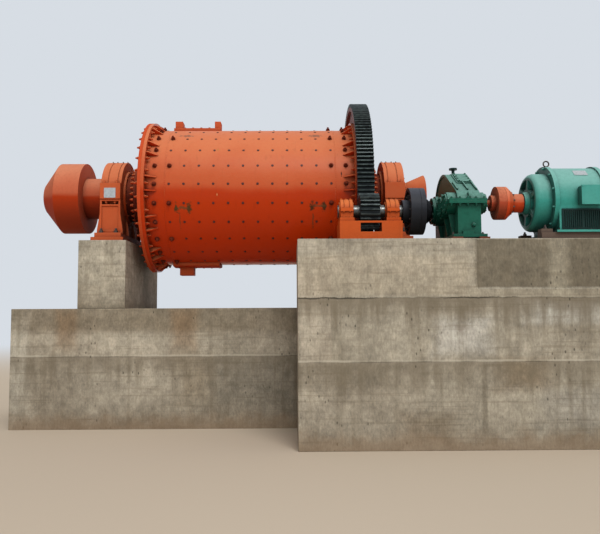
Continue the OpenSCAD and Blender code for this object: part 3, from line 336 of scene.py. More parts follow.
# Rubbed and stained spots of the shell: place along the axis, angle over the horizon, half size
# in metres, strength and colour.
rubbed = [
    (-1.235, -17.5, (0.045, 0.1, 0.11), 0.9, "#3E3A1E"),
    (-1.02, -17, (0.045, 0.1, 0.12), 0.9, "#3E3A1E"),
    (-1.13, -17, (0.13, 0.03, 0.035), 0.7, "#5A4A2A"),
    (1.03, -16, (0.06, 0.08, 0.09), 0.9, "#33301C"),
    (1.235, -16.5, (0.05, 0.08, 0.09), 0.9, "#33301C"),
    (1.13, -15.5, (0.13, 0.025, 0.025), 0.6, "#6A4A2E"),
    (-1.12, 53, (0.15, 0.06, 0.05), 0.7, "#6A5444"),
    (1.1, 52.5, (0.16, 0.06, 0.05), 0.7, "#6A5444"),
    (1.52, 9.8, (0.012, 0.05, 0.06), 0.95, "#2E1A14"),
    (1.045, -27, (0.018, 0.15, 0.2), 0.6, "#4A4026"),
    (-1.18, -27, (0.016, 0.14, 0.18), 0.5, "#4A4026"),
    (-0.555, 33, (0.03, 0.04, 0.06), 0.5, "#B8803A"),
    (-0.55, -6.5, (0.008, 0.03, 0.04), 0.8, "#E0B070"),
]
millPaint = {"name": "orangeEnamel", "paint": "#BC3A0C", "dustAndSheen": "#DC7C50", "deep": "#DA380E",
             "grimeAndShade": "#2A100A", "worn": "#7E5A46", "patchMm": 900, "mottleMm": 45, "mottle": 0.12,
             "runs": 0.1, "cornerGrimeAndShade": 0.8, "recessShade": 0.85, "wear": 0.35, "shade": 0.5,
             "skyPaleness": (-0.12, 0.04, 0.45), "dust": (0.0, 0.75, 0.55), "roughness": (0.68, 0.8)}
concrete = {"dark": "#8E8270", "pale": "#B8AC98", "green": "#A29E8C", "wet": "#766A56",
            "lime": "#CEC4B0", "crack": "#3E382E", "soil": "#8A7258",
            "recessShade": "#3A332A"}
lowJoint = {"z": 1.153, "wobble": 0.03, "bleed": 0.5, "lime": 0.5, "crack": 0.5, "open": 0.01}
highJoint = {"z": 2.04, "wobble": 0.07, "bleed": 0.75, "lime": 0.15, "crack": 0.9, "open": 0.014}
# Patches of another tone on the walls: middle on X and Z and half size along X and Z in metres, how
# torn and how soft the edge is, strength and colour.
lowBands = [
    (-1.5, 1.77, 3.6, 0.26, 1.2, 0.35, 0.62, "#7C6E58"),
    (-2.2, 1.34, 1.9, 0.2, 1.2, 0.5, 0.35, "#CCC1AC"),
    (-2.45, 2.45, 0.3, 0.5, 1.2, 0.5, 0.35, "#CCC1AA"),
    (-2.95, 1.6, 0.16, 0.3, 1.0, 0.6, 0.5, "#8A6A48"),
    (-1.06, 1.58, 0.2, 0.34, 1.0, 0.6, 0.5, "#8A6A48"),
    (-0.9, 0.75, 0.25, 0.35, 1.0, 0.6, 0.4, "#86704E"),
    (0.1, 0.75, 0.8, 0.4, 1.0, 0.5, 0.5, "#7E786A"),
    (-3.7, 0.95, 0.14, 0.7, 0.8, 0.6, 0.5, "#D0C8B6"),
    (-1.9, 0.6, 0.9, 0.35, 1.2, 0.6, 0.4, "#C6BCA8"),
]
highBands = [
    # The first band is painted shade of the recess above the ledge, together with damp staining.
    (4.63, 2.51, 1.46, 0.33, 0.12, 0.04, 0.8, "#655B48"),
    (4.63, 2.1, 1.46, 0.06, 0.1, 0.1, 0.45, "#7E735E"),
    (4.34, 2.5, 0.13, 0.5, 1.0, 0.6, 0.55, "#B0A690"),
    (1.9, 2.35, 1.24, 0.27, 0.4, 0.15, 0.25, "#C4B296"),
    (3.0, 1.53, 0.34, 0.22, 1.4, 0.6, 0.6, "#CEC9BE"),
    (4.5, 1.84, 0.6, 0.13, 1.4, 0.6, 0.7, "#CEC9BC"),
    (0.95, 1.7, 0.1, 0.22, 1.0, 0.6, 0.5, "#CCC0AA"),
    (2.5, 0.28, 0.32, 0.2, 1.0, 0.5, 0.55, "#7E6C54"),
    (1.5, 0.98, 0.8, 0.18, 1.2, 0.5, 0.5, "#7A705E"),
    (3.8, 1.0, 0.32, 0.2, 1.2, 0.6, 0.6, "#806A4C"),
    (3.27, 0.65, 0.035, 0.4, 1.0, 0.6, 0.55, "#6C6250"),
    (4.6, 0.55, 0.5, 0.25, 1.2, 0.6, 0.4, "#B4AFA4"),
]
finishes = {
    "mill": enamelOverSteel(millPaint),
    "drum": enamelOverSteel({**millPaint, "name": "orangeEnamelRubbed", "marks": rubbed,
                             "roughness": (0.17, 0.5)}),
    # The feeder's underside takes a dark deep tone: painted shade.
    "feeder": enamelOverSteel({**millPaint, "name": "orangeEnamelShadedBelow", "dustAndSheen": "#D98663",
                               "deep": "#6E2E1E", "shade": 0.62}),
    "bearing": enamelOverSteel({**millPaint, "name": "orangeEnamelDusty", "paint": "#C24A18",
                                "dustAndSheen": "#DC8258", "skyPaleness": (-0.12, 0.04, 0.4), "shade": 0.2}),
    # Heads and trunnions: the dark paint is oil and painted shade between bearing and drum; the outer rim
    # keeps the lit colour.
    "sootAndShade": enamelOverSteel({**millPaint, "name": "orangeEnamelSootAndShade", "paint": "#6E2210", "dustAndSheen": "#96442C",
                             "deep": "#3E100A", "mottle": 0.4, "runs": 0.3, "cleanAndLit": "#CC5028",
                             "cleanAndLitFrom": 0.85}),
    "stud": enamelOverSteel({**millPaint, "name": "darkRedEnamel", "paint": "#6E2210", "dustAndSheen": "#96442C",
                             "deep": "#3E100A", "mottle": 0.4}),
    "drive": enamelOverSteel({**millPaint, "name": "orangeEnamelFresh", "paint": "#CC4E14",
                              "dustAndSheen": "#DE7A42", "deep": "#AE3E10", "shade": 0.3, "cornerGrimeAndShade": 0.6,
                              "skyPaleness": (-0.12, 0.04, 0.3), "roughness": (0.42, 0.6)}),
    "coupling": enamelOverSteel({**millPaint, "name": "orangeEnamelOily", "paint": "#CC5028",
                                 "dustAndSheen": "#DC8460", "recessShade": 0.4, "mottle": 0.2,
                                 "roughness": (0.42, 0.6)}),
    "oilyCoupling": enamelOverSteel({**millPaint, "name": "orangeEnamelBlackened", "paint": "#B44C30",
                                     "dustAndSheen": "#D07C5C", "deep": "#7A301C", "cornerGrimeAndShade": 0.9, "recessShade": 0.5,
                                     "mottle": 0.4}),
    "reducer": enamelOverSteel({**millPaint, "name": "greenEnamel", "paint": "#0E5C48", "dustAndSheen": "#6C9A8C",
                                "deep": "#0C3026", "grimeAndShade": "#121C18", "worn": "#7E8A7C",
                                "mottle": 0.3, "skyPaleness": (-0.1, 0.06, 0.12), "dust": (0.0, 0.75, 0.85),
                                "roughness": (0.3, 0.5)}),
    # The motor's faces towards the feed side take painted shade.
    "motor": enamelOverSteel({**millPaint, "name": "sageEnamel", "paint": "#42A092", "dustAndSheen": "#80B8AC",
                              "deep": "#1E5A4E", "grimeAndShade": "#1C2A28", "worn": "#7C8A80",
                              "mottle": 0.15, "skyPaleness": (-0.1, 0.06, 0.2), "dust": (0.0, 0.7, 0.8),
                              "feedFacingShade": 0.6, "roughness": (0.3, 0.45)}),
    "grille": enamelOverSteel({**millPaint, "name": "sootyEnamel", "paint": "#162A28", "dustAndSheen": "#2C4642",
                               "deep": "#121E1C", "grimeAndShade": "#101614", "worn": "#5A6A62",
                               "mottle": 0.4, "roughness": (0.4, 0.55)}),
    "primer": enamelOverSteel({**millPaint, "name": "blackPrimer", "paint": "#2E2F34", "dustAndSheen": "#52545C",
                               "deep": "#242426", "grimeAndShade": "#161616", "worn": "#6A6058", "shade": 0.4,
                               "mottle": 0.2, "skyPaleness": (-0.1, 0.06, 0.15), "dust": (0.2, 0.9, 0.6),
                               "roughness": (0.42, 0.55)}),
    "section": enamelOverSteel({**millPaint, "name": "redOxidePrimer", "paint": "#7A3A26", "dustAndSheen": "#8C5440",
                                "deep": "#46201A", "grimeAndShade": "#241612", "worn": "#6A5A50",
                                "roughness": (0.5, 0.65)}),
    "rail": enamelOverSteel({**millPaint, "name": "rustySection", "paint": "#5C4A40", "dustAndSheen": "#78685C",
                             "deep": "#3A2A24", "grimeAndShade": "#201814", "worn": "#7A6A5E",
                             "roughness": (0.55, 0.7)}),
    "gear": greasedGear({"name": "greasedCastSteel", "steel": "#46524F", "grease": "#1C2224",
                         "paint": "#6A2416", "axis": (0, 0, mill["axisZ"]), "root": 1.645, "tip": 1.694,
                         "paintedTo": 1.635}),
    "pinion": greasedGear({"name": "greasedForgedSteel", "steel": "#525C5A", "grease": "#1E2426",
                           "axis": (0, mill["driveY"], mill["driveZ"]), "root": 0.236, "tip": 0.286}),
    "shaft": bareSteel({"name": "turnedSteel", "steel": "#6C6E6C", "rust": "#5A4436", "speckMm": 18,
                        "rustiness": 0.4, "metal": 0.9, "roughness": (0.3, 0.5)}),
    # Small liner bolts: dark oily steel, darkened further as painted shade of the recesses they sit in.
    "socket": bareSteel({"name": "oiledAndShadedSteel", "steel": "#501C12", "rust": "#2E120C", "speckMm": 10,
                         "rustiness": 0.5, "metal": 0.0, "roughness": (0.5, 0.65)}),
    "bolt": bareSteel({"name": "blackenedSteel", "steel": "#55504C", "rust": "#5E3A28", "speckMm": 10,
                       "rustiness": 0.5, "metal": 0.8, "roughness": (0.4, 0.6)}),
    "plate": bareSteel({"name": "brushedAluminium", "steel": "#C8CCCC", "rust": "#8E948E", "speckMm": 30,
                        "rustiness": 0.3, "metal": 0.6, "roughness": (0.3, 0.45)}),
    "plinth": castConcrete({**concrete, "name": "castConcreteLow", "panel": (1.22, 50, 1.153),
                            "bands": lowBands, "joints": [lowJoint]}),
    "block": castConcrete({**concrete, "name": "castConcreteHigh", "dark": "#988C7A", "pale": "#BCB09C",
                           "panel": (1.22, 50, 1.177), "bands": highBands,
                           "joints": [{**lowJoint, "z": 1.177}, highJoint]}),
}
print("stage: finishes made,", len(finishes))

# Which parts take which finish, and how far their edges are rounded, in millimetres.
dressing = [
    ("plinth", 10, ["plinth", "feed_pier", "discharge_pier"]),
    ("block", 10, ["drive_block"]),
    ("bearing", 4, ["feed_bearing_base", "discharge_bearing_base", "feed_bearing_cap",
                    "discharge_bearing_cap"]),
    ("feeder", 2, ["feeder_drum"]),
    ("mill", 2, ["discharge_trumpet", "manhole_top", "manhole_bottom"]),
    ("sootAndShade", 2, ["feed_head", "discharge_head", "feed_trunnion", "discharge_trunnion"]),
    ("mill", 0, ["feed_flange_ribs", "drive_flange_ribs", "gear_ribs"]),
    ("drum", 3, ["drum_shell"]),
    ("gear", 0, ["girth_gear"]),
    ("pinion", 0, ["pinion"]),
    ("shaft", 2, ["pinion_shaft"]),
    ("drive", 3, ["pinion_base", "pinion_housing_near", "pinion_housing_far"]),
    ("primer", 3, ["coupling_pinion_half", "coupling_reducer_half"]),
    ("reducer", 3, ["reducer_lower_case", "reducer_upper_case", "inspection_cover",
                    "output_bearing_caps", "input_bearing_caps"]),
    ("section", 2, ["reducer_base"]),
    ("rail", 2, ["motor_rails"]),
    ("coupling", 2, ["motor_coupling_motor_half"]),
    ("oilyCoupling", 2, ["motor_coupling_reducer_half"]),
    ("motor", 3, ["motor_frame", "motor_drive_shield", "motor_rear_shield", "terminal_box"]),
    ("grille", 0, ["motor_grilles", "breather"]),
    ("bolt", 0, ["lifting_eye"]),
]
for finish, rounding, names in dressing:
    for name in names:
        part = parts[name]
        part.data.materials.clear()
        part.data.materials.append(finishes[finish])
        if rounding:
            weld = part.modifiers.new("weld", "WELD")
            weld.merge_threshold = 0.00005
            bevel = part.modifiers.new("edges", "BEVEL")
            bevel.width = rounding / 1000
            bevel.segments = 2
            bevel.limit_method = "ANGLE"
            bevel.angle_limit = radians(38)
            bevel.harden_normals = False
            part.modifiers.new("shading", "WEIGHTED_NORMAL").keep_sharp = False
print("stage: parts dressed")


# Shapes of small pieces: rings of points joined into one closed skin, and shapes put together
def closedFaces(rings, sides):
    faces = []
    for k in range(rings - 1):
        for i in range(sides):
            j = (i + 1) % sides
            faces.append((k * sides + i, k * sides + j, (k + 1) * sides + j, (k + 1) * sides + i))
    return faces + [tuple(reversed(range(sides))), tuple(range((rings - 1) * sides, rings * sides))]


def together(shapes):
    points, faces = [], []
    for shapePoints, shapeFaces in shapes:
        faces += [tuple(i + len(points) for i in face) for face in shapeFaces]
        points += shapePoints
    return points, faces


# A turned solid from rings of height and radius
def solidOf(rings, sides):
    angles = [2 * pi * i / sides for i in range(sides)]
    points = [Vector((r * cos(a), r * sin(a), z)) for z, r in rings for a in angles]
    return points, closedFaces(len(rings), sides)


# A washer, a hexagon nut or head and the end of its stud, in metres from sizes in millimetres
def fastenerShape(size):
    washer, thick, flats, tall, stud, proud = [v / 1000 for v in size]
    corner, top = flats / 2 / cos(pi / 6), thick + tall
    shapes = [solidOf([(-0.002, washer / 2), (thick * 0.8, washer / 2), (thick, washer / 2 - 0.001)], 20),
              solidOf([(thick, corner), (thick + tall * 0.86, corner), (top, corner * 0.88)], 6)]
    if proud > 0:
        shapes.append(solidOf([(top, stud / 2), (top + proud * 0.8, stud / 2),
                               (top + proud, stud * 0.38)], 12))
    return together(shapes)


# A place on a surface, with Z out of it
def stand(point, direction, turn=0.0):
    out = Vector(direction).to_track_quat("Z", "Y").to_matrix().to_4x4()
    return Matrix.Translation(point) @ out @ Matrix.Rotation(turn, 4, "Z")


def addObject(name, data):
    made = bpy.data.objects.new(name, data)
    bpy.context.scene.collection.objects.link(made)
    return made


# Copies of one shape in one mesh, which rides on a body
def joinPieces(name, body, finish, shape, places):
    points, faces = together(([place @ p for p in shape[0]], shape[1]) for place in places)
    mesh = bpy.data.meshes.new(name)
    mesh.from_pydata([tuple(p) for p in points], [], faces)
    mesh.validate()
    mesh.materials.append(finishes[finish])
    piece = addObject(name, mesh)
    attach(piece, body)


def addBolts(name, body, finish, size, places):
    joinPieces(name, body, finish, fastenerShape(size), places)


chance = Random(7)


def spin():
    return chance.uniform(0, pi / 3)


def radialPlace(x, degrees, radius=mill["shellRadius"]):
    a = radians(degrees)
    out = (0, -cos(a), sin(a))
    return stand((x, out[1] * radius, mill["axisZ"] + out[2] * radius), out, spin())


def axialPlaces(x, direction, radius, angles, y=0.0, z=mill["axisZ"]):
    return [stand((x, y - radius * cos(radians(a)), z + radius * sin(radians(a))), (direction, 0, 0), spin())
            for a in angles]


# Liner bolts of the drum, which leave room for the manholes
linerBolts = {"rows": 24, "columns": 14, "pitch": 0.2456, "firstRow": 45, "manhole": (-1.46, -0.60),
              "manholeAngle": 14, "small": (42, 2, 30, 5, 0, 0), "large": (78, 10, 55, 28, 34, 26)}
smallPlaces, largePlaces = [], []
for row in range(linerBolts["rows"]):
    angle = mill["rowStart"] + linerBolts["firstRow"] - 360 / linerBolts["rows"] * row
    fromTop = abs((angle - 90) % 180)
    atManhole = min(fromTop, 180 - fromTop) < linerBolts["manholeAngle"]
    for column in range(linerBolts["columns"]):
        x = (column - (linerBolts["columns"] - 1) / 2) * linerBolts["pitch"]
        if atManhole and linerBolts["manhole"][0] < x < linerBolts["manhole"][1]:
            continue
        fromEnd = min(column, linerBolts["columns"] - 1 - column)
        large = fromEnd == 0 or fromEnd == 1 and row % 2 == 0
        (largePlaces if large else smallPlaces).append(radialPlace(x, angle))
addBolts("liner_bolts", "mill", "socket", linerBolts["small"], smallPlaces)
addBolts("end_liner_bolts", "mill", "stud", linerBolts["large"], largePlaces)
print("stage: liner bolts,", len(smallPlaces), "and", len(largePlaces))

# Bolts of the end flanges and trunnions
flangeBolts = {"circle": 1.29, "count": 36, "feedHead": 0.109, "driveHead": 0.159,
               "size": (66, 6, 46, 28, 30, 28), "trunnionCircle": 0.52, "trunnionCount": 32,
               "trunnionFlange": 0.05, "trunnionSize": (74, 6, 55, 34, 36, 26)}
around = [mill["rowStart"] + 360 / flangeBolts["count"] * i for i in range(flangeBolts["count"])]
shellEnd = mill["shellEnd"]
places = []
for x, direction in ((-shellEnd, 1), (shellEnd, -1), (-shellEnd - flangeBolts["feedHead"], -1),
                     (shellEnd + flangeBolts["driveHead"], 1)):
    places += axialPlaces(x, direction, flangeBolts["circle"], around)
addBolts("flange_bolts", "mill", "mill", flangeBolts["size"], places)
hub = [360 / flangeBolts["trunnionCount"] * i for i in range(flangeBolts["trunnionCount"])]
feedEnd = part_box("feed_trunnion")[1][0] - flangeBolts["trunnionFlange"]
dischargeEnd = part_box("discharge_trunnion")[0][0] + flangeBolts["trunnionFlange"]
places = axialPlaces(feedEnd, -1, flangeBolts["trunnionCircle"], hub)
places += axialPlaces(dischargeEnd, 1, flangeBolts["trunnionCircle"], hub)
addBolts("trunnion_bolts", "mill", "mill", flangeBolts["trunnionSize"], places)
print("stage: flange bolts")

# Manhole covers
coverBolts = {"size": (44, 3, 34, 9, 0, 0), "turn": 10.2, "reach": (-1.40, -0.655), "count": 6,
              "radius": 1.28}
places = []
for angle in (90, -90):
    for i in range(coverBolts["count"]):
        start, end = coverBolts["reach"]
        x = start + i * (end - start) / (coverBolts["count"] - 1)
        for side in (-1, 1):
            places.append(radialPlace(x, angle + side * coverBolts["turn"], coverBolts["radius"]))
addBolts("manhole_bolts", "mill", "mill", coverBolts["size"], places)

# The two joints of the girth gear's halves
gearJoints = {"angle": -152.71, "spots": ((1.42, 1.90), (1.49, 1.93), (1.53, 1.97)), "aside": 0.045,
              "size": (60, 6, 46, 24, 30, 22)}
places = []
for half in (0, 180):
    a = radians(gearJoints["angle"] + half)
    out, along = Vector((0, -sin(a), cos(a))), Vector((0, cos(a), sin(a)))
    for r, x in gearJoints["spots"]:
        for side in (-1, 1):
            point = Vector((x, 0, mill["axisZ"])) + out * r + along * gearJoints["aside"] * side
            places.append(stand(point, along * side, spin()))
addBolts("gear_joint_bolts", "mill", "bolt", gearJoints["size"], places)

# Main bearings: a shoulder, pocket or foot has its place along, across and above
bearings = {"centres": (-2.465, 2.495), "shoulder": (0.11, 0.668, 4.115), "pocket": (0.077, 0.645, 3.797),
            "foot": (0.1265, 0.752, 3.23), "ridge": (-0.14, -0.055, 0.045, 0.13), "capRadius": 0.656,
            "sealReach": 0.2135, "sealCircle": 0.462, "studSize": (52, 5, 46, 26, 30, 22),
            "footSize": (84, 8, 65, 34, 42, 38), "smallSize": (26, 3, 19, 9, 12, 6),
            "capSize": (36, 4, 28, 16, 18, 14)}
studs, feet, small, ridge = [], [], [], []
for centre in bearings["centres"]:
    for side in (-1, 1):
        for way in (-1, 1):
            for seat, kept, up in (("shoulder", studs, 1), ("pocket", studs, -1), ("foot", feet, 1)):
                along, across, z = bearings[seat]
                kept.append(stand((centre + way * along, side * across, z), (0, 0, up), spin()))
    for shift in bearings["ridge"]:
        ridge.append(stand((centre + shift, 0, mill["axisZ"] + bearings["capRadius"]), (0, 0, 1), spin()))
    for side in (-1, 1):
        small += axialPlaces(centre + side * bearings["sealReach"], side, bearings["sealCircle"],
                             range(10, 360, 30))
addBolts("cap_ridge_bolts", "foundation", "bolt", bearings["capSize"], ridge)
addBolts("bearing_studs", "foundation", "bearing", bearings["studSize"], studs)
addBolts("bearing_foot_bolts", "foundation", "bolt", bearings["footSize"], feet)
addBolts("seal_ring_bolts", "foundation", "bearing", bearings["smallSize"], small)
print("stage: bearing bolts")

# Pinion housings
housings = {"spans": ((1.439, 1.629), (2.149, 2.339)), "top": 0.19, "lip": 0.024, "lipY": 0.222,
            "footZ": 3.288, "footY": 0.234, "coverReach": 0.016, "coverCircle": 0.128,
            "topSize": (34, 4, 28, 13, 0, 0), "sideSize": (30, 3, 24, 12, 14, 6),
            "coverSize": (20, 2, 17, 8, 0, 0)}
driveY, inputY, driveZ = mill["driveY"], mill["inputY"], mill["driveZ"]
top, side, cover = [], [], []
for x0, x1 in housings["spans"]:
    for part in (0.13, 0.5, 0.87):
        top.append(stand((x0 + part * (x1 - x0), driveY, driveZ + housings["top"]), (0, 0, 1), spin()))
    for part in (0.25, 0.75):
        x = x0 + part * (x1 - x0)
        for way in (-1, 1):
            for up in (1, -1):
                point = (x, driveY + way * housings["lipY"], driveZ + up * housings["lip"])
                side.append(stand(point, (0, 0, up), spin()))
            point = (x, driveY + way * housings["footY"], housings["footZ"])
            side.append(stand(point, (0, 0, 1), spin()))
    for face, way in ((x0, -1), (x1, 1)):
        cover += axialPlaces(face + way * housings["coverReach"], way, housings["coverCircle"],
                             range(0, 360, 60), driveY, driveZ)
addBolts("housing_top_bolts", "foundation", "drive", housings["topSize"], top)
addBolts("housing_bolts", "foundation", "drive", housings["sideSize"], side)
addBolts("housing_cover_bolts", "foundation", "drive", housings["coverSize"], cover)

# Couplings: pins of the large one, bolts of the small one
couplings = {"pinX": 2.532, "pinCircle": 0.245, "pinSize": (50, 5, 36, 20, 24, 18),
             "smallX": 3.856, "smallCircle": 0.153, "smallSize": (34, 4, 24, 14, 16, 12)}
places = axialPlaces(couplings["pinX"], -1, couplings["pinCircle"], range(0, 360, 36), driveY, driveZ)
addBolts("coupling_pins", "pinion_line", "bolt", couplings["pinSize"], places)
places = axialPlaces(couplings["smallX"], 1, couplings["smallCircle"], range(9, 360, 36), inputY, driveZ)
addBolts("motor_coupling_pins", "motor_line", "bolt", couplings["smallSize"], places)
print("stage: drive bolts")

# Reducer: its case flange, the caps of its three shafts, the lid of its dome and its feet
reducer = {"endX": (2.95, 3.07, 3.185, 3.3, 3.415), "endY": (-2.8436, -1.2026), "sideX": (2.945, 3.42),
           "sideY": (-2.452, -2.108, -1.6, -1.4), "flange": 0.034, "middleShaft": 0.3,
           "caps": ((2.865, 3.474, 0.175), (2.891, 3.474, 0.12), (2.891, 3.484, 0.115)),
           "footX": (3.0, 3.42), "footY": (-2.72, -2.3, -1.85, -1.4), "footZ": 2.945,
           "roofSlope": 29.12, "domeRadius": 0.57, "cover": (3.254, -0.33, 0.37, 0.2, 0.03),
           "plug": (3.265, -2.8156, 3.078), "size": (42, 4, 36, 18, 24, 14),
           "capSize": (28, 3, 24, 12, 0, 0), "footSize": (44, 4, 36, 20, 24, 16),
           "plugSize": (62, 10, 46, 24, 30, 6)}
spots = [(x, y) for x in reducer["endX"] for y in reducer["endY"]]
spots += [(x, y) for y in reducer["sideY"] for x in reducer["sideX"]]
flange = [stand((x, y, driveZ + way * reducer["flange"]), (0, 0, way), spin())
          for x, y in spots for way in (-1, 1)]
caps = []
for (low, high, r), y in zip(reducer["caps"], (driveY, inputY + reducer["middleShaft"], inputY)):
    for x, way in ((low, -1), (high, 1)):
        caps += axialPlaces(x, way, r, range(22, 382, 45), y, driveZ)
slope = radians(reducer["roofSlope"])
coverX, coverFrom, coverLong, coverWide, coverTop = reducer["cover"]
for part in (0.06, 0.36, 0.64, 0.94):
    for way in (-1, 1):
        along, out = coverFrom + part * coverLong, reducer["domeRadius"] + coverTop
        point = (coverX + way * (coverWide / 2 - 0.02), driveY + along * cos(slope) - out * sin(slope),
                 driveZ + along * sin(slope) + out * cos(slope))
        caps.append(stand(point, (0, -sin(slope), cos(slope)), spin()))
feet = [stand((x, y, reducer["footZ"]), (0, 0, 1), spin())
        for y in reducer["footY"] for x in reducer["footX"]]
addBolts("reducer_flange_bolts", "foundation", "reducer", reducer["size"], flange)
addBolts("reducer_cap_bolts", "foundation", "reducer", reducer["capSize"], caps)
addBolts("reducer_foot_bolts", "foundation", "bolt", reducer["footSize"], feet)
plug = stand(reducer["plug"], (0, -1, 0), 0.2)
addBolts("drain_plug", "foundation", "reducer", reducer["plugSize"], [plug])
print("stage: reducer bolts")

# Motor
motor = {"front": 4.315, "rear": 5.055, "ringRadius": 0.49, "boss": 4.03, "bossCircle": 0.118,
         "feetX": (4.36, 4.57, 4.8, 5.02), "feetY": 0.503, "footZ": 2.965, "lidX": (4.649, 4.931),
         "lidY": -3.2506, "lidZ": (3.319, 3.541), "rail": (4.205, 0.401, 2.985),
         "size": (38, 4, 30, 16, 20, 8), "smallSize": (24, 3, 19, 9, 0, 0),
         "lidSize": (22, 1, 18, 4, 0, 0), "railSize": (60, 6, 46, 24, 30, 26)}
ring = []
for x, way in ((motor["front"], -1), (motor["rear"], 1)):
    ring += axialPlaces(x, way, motor["ringRadius"], range(15, 375, 30), inputY, driveZ)
screws = axialPlaces(motor["boss"], -1, motor["bossCircle"], range(30, 390, 60), inputY, driveZ)
lid = [stand((x, motor["lidY"], z), (0, -1, 0), spin()) for x in motor["lidX"] for z in motor["lidZ"]]
screws += [stand((x, inputY + way * motor["feetY"], motor["footZ"]), (0, 0, 1), spin())
           for x in motor["feetX"] for way in (-1, 1)]
railX, railY, railZ = motor["rail"]
rails = [stand((railX, inputY + way * railY, railZ), (0, 0, 1), spin()) for way in (-1, 1)]
addBolts("motor_shield_bolts", "foundation", "motor", motor["size"], ring)
addBolts("terminal_box_screws", "foundation", "motor", motor["lidSize"], lid)
addBolts("motor_screws", "foundation", "bolt", motor["smallSize"], screws)
addBolts("rail_bolts", "foundation", "bolt", motor["railSize"], rails)
print("stage: motor bolts")


# Weld beads round the shell, rippled as a hand laid them
welds = {"weld_feed_end": -1.42, "weld_drive_end": 1.42}
weldWidth, weldHeight, steps = 0.022, 0.004, 720
for name, x in welds.items():
    points, faces = [], []
    for i in range(steps):
        a = 2 * pi * i / steps
        lift = weldHeight * (0.75 + 0.25 * cos(i * 1.9))
        for across, rise in ((-0.5, -0.001), (-0.32, lift * 0.7), (0, lift), (0.32, lift * 0.7),
                             (0.5, -0.001)):
            r = mill["shellRadius"] + rise
            points.append(Vector((x + across * weldWidth, -r * cos(a), mill["axisZ"] + r * sin(a))))
        j = (i + 1) % steps
        faces += [(i * 5 + k, i * 5 + k + 1, j * 5 + k + 1, j * 5 + k) for k in range(4)]
    joinPieces(name, "mill", "drum", (points, faces), [Matrix()])


# Bare plates, rounded at the corners and held by four rivets
def barePlate(name, place, wide, high, corner, thick=0.004):
    outline = []
    for cx, cy, start in ((1, 1, 0), (-1, 1, 90), (-1, -1, 180), (1, -1, 270)):
        u, v = cx * (wide / 2 - corner), cy * (high / 2 - corner)
        for step in range(5):
            a = radians(start + step * 22.5)
            outline.append((u + corner * cos(a), v + corner * sin(a)))
    rings = [(-0.001, 1.0), (thick * 0.7, 1.0), (thick, 0.985)]
    points = [Vector((u * k, v * k, z)) for z, k in rings for u, v in outline]
    shapes = [(points, closedFaces(len(rings), len(outline)))]
    points, faces = solidOf([(thick * 0.5, 0.005), (thick + 0.0015, 0.005), (thick + 0.003, 0.0025)], 12)
    for u in (-1, 1):
        for v in (-1, 1):
            aside = Vector((u * (wide / 2 - 0.012), v * (high / 2 - 0.012), 0))
            shapes.append(([p + aside for p in points], faces))
    joinPieces(name, "foundation", "plate", together(shapes), [place])


plates = {"bearing": (-2.468, -0.7, 3.9385), "motorX": 4.747, "motorRadius": 0.5, "motorAngle": 48.6}
a = radians(plates["motorAngle"])
onMotor = (plates["motorX"], inputY - plates["motorRadius"] * cos(a), driveZ + plates["motorRadius"] * sin(a))
barePlate("bearing_plate", stand(plates["bearing"], (0, -1, 0)), 0.2, 0.175, 0.012)
barePlate("motor_plate", stand(onMotor, (0, -cos(a), sin(a))), 0.188, 0.12, 0.01)
print("stage: welds and plates")

# Camera at the photograph's place. The frame is taken as 600 by 534.
camera = {"place": (0.687, -12.043, 1.85), "yaw": 0.712, "pitch": 3.949, "roll": -0.28, "lensPixels": 658,
          "framePixels": 600, "sensor": 36}
yaw, pitch, roll = radians(camera["yaw"]), radians(camera["pitch"]), radians(camera["roll"])
ahead = Vector((sin(yaw) * cos(pitch), cos(yaw) * cos(pitch), sin(pitch)))
right = Vector((cos(yaw), -sin(yaw), 0))
above = right.cross(ahead)
tiltedRight = cos(roll) * right + sin(roll) * above
tiltedUp = cos(roll) * above - sin(roll) * right
cameraData = bpy.data.cameras.new("camera")
cameraData.sensor_width = camera["sensor"]
cameraData.lens = camera["sensor"] * camera["lensPixels"] / camera["framePixels"]
cameraObject = addObject("camera", cameraData)
turned = Matrix((tiltedRight, tiltedUp, -ahead)).transposed().to_4x4()
cameraObject.matrix_world = Matrix.Translation(camera["place"]) @ turned
bpy.context.scene.camera = cameraObject

# Floor and light
light = {"sky": 0.7, "sideLight": 0.3, "skyColour": "#F4F7FA", "backdrop": "#D7DDE4", "floor": "#C8B8A4",
         "floorReach": 90, "sun": 1.5, "sunFrom": (0.2, -0.75, 1.0), "sunAngle": 25}
reach = light["floorReach"]
floorMesh = bpy.data.meshes.new("floor")
floorMesh.from_pydata([(-reach, -reach, 0), (reach, -reach, 0), (reach, reach, 0), (-reach, reach, 0)],
                      [], [(0, 1, 2, 3)])
addObject("floor", floorMesh)
material, tree, place = startMaterial("paleFloor")
far = addNode(tree, "ShaderNodeVectorMath", lengthOf, {0: place}, 1)
fade = addNode(tree, "ShaderNodeMapRange", smooth, {"Value": far, "From Min": 9.0, "From Max": 34.0})
ground = addNode(tree, "ShaderNodeBsdfDiffuse", None, {"Color": linear(light["floor"])})
skyPaleness = addNode(tree, "ShaderNodeEmission", None, {"Color": linear(light["backdrop"]), "Strength": 1.0})
surface = addNode(tree, "ShaderNodeMixShader", None, {0: fade, 1: ground, 2: skyPaleness})
floorMesh.materials.append(endMaterial(material, surface))

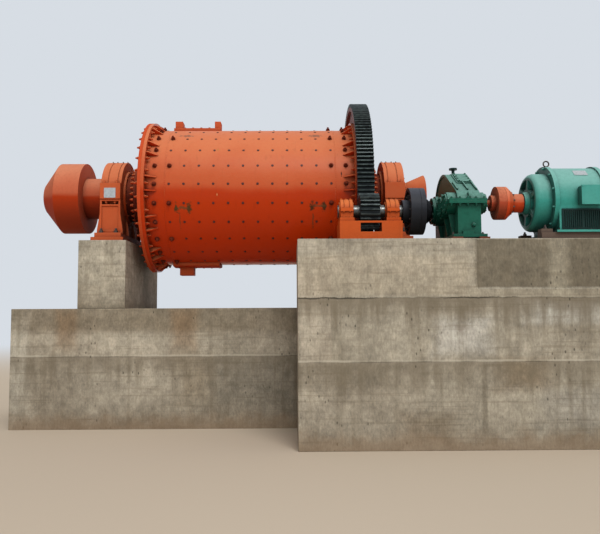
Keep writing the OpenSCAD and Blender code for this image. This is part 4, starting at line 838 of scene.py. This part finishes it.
world = bpy.data.worlds.new("sky")
bpy.context.scene.world = world
world.use_nodes = True
sky = world.node_tree
sky.nodes.clear()
paths = sky.nodes.new("ShaderNodeLightPath")
mirrored = addNode(sky, "ShaderNodeMath", larger, {
    0: paths.outputs["Is Glossy Ray"], 1: paths.outputs["Is Transmission Ray"]})
seen = addNode(sky, "ShaderNodeMath", larger, {0: paths.outputs["Is Camera Ray"], 1: mirrored})
# The feed side is darker, as where other plant stands beside the mill.
outlook = addNode(sky, "ShaderNodeTexCoord")
openness = addNode(sky, "ShaderNodeMapRange", smooth, {
    "Value": addNode(sky, "ShaderNodeSeparateXYZ", None, {0: outlook}),
    "From Min": -0.85, "From Max": 0.0, "To Min": light["sideLight"]})
lit = addNode(sky, "ShaderNodeBackground", None, {
    "Color": linear(light["skyColour"]),
    "Strength": addNode(sky, "ShaderNodeMath", times, {0: openness, 1: light["sky"]})})
shown = addNode(sky, "ShaderNodeBackground", None, {"Color": linear(light["backdrop"]), "Strength": 1.0})
mixed = addNode(sky, "ShaderNodeMixShader", None, {0: seen, 1: lit, 2: shown})
worldOut = sky.nodes.new("ShaderNodeOutputWorld")
sky.links.new(mixed, worldOut.inputs["Surface"])

sunData = bpy.data.lights.new("sun", "SUN")
sunData.energy = light["sun"]
sunData.angle = radians(light["sunAngle"])
sun = addObject("sun", sunData)
sun.rotation_mode = "QUATERNION"
sun.rotation_quaternion = Vector(light["sunFrom"]).to_track_quat("Z", "Y")
fill = {"place": (0.69, -12.2, 2.1), "aim": (0.66, -1.2, 3.75), "power": 50, "size": 0.7,
        "spread": 120}  # a lamp beside the camera
fillData = bpy.data.lights.new("fill", "AREA")
fillData.energy = fill["power"]
fillData.size = fill["size"]
fillData.spread = radians(fill["spread"])
lamp = addObject("fill", fillData)
lamp.visible_glossy = False  # it leaves no glint of its own on the paint
lamp.location = fill["place"]
lamp.rotation_mode = "QUATERNION"
lamp.rotation_quaternion = (Vector(fill["place"]) - Vector(fill["aim"])).to_track_quat("Z", "Y")
bpy.context.scene.view_settings.view_transform = "Standard"
print("stage: camera, floor and light")
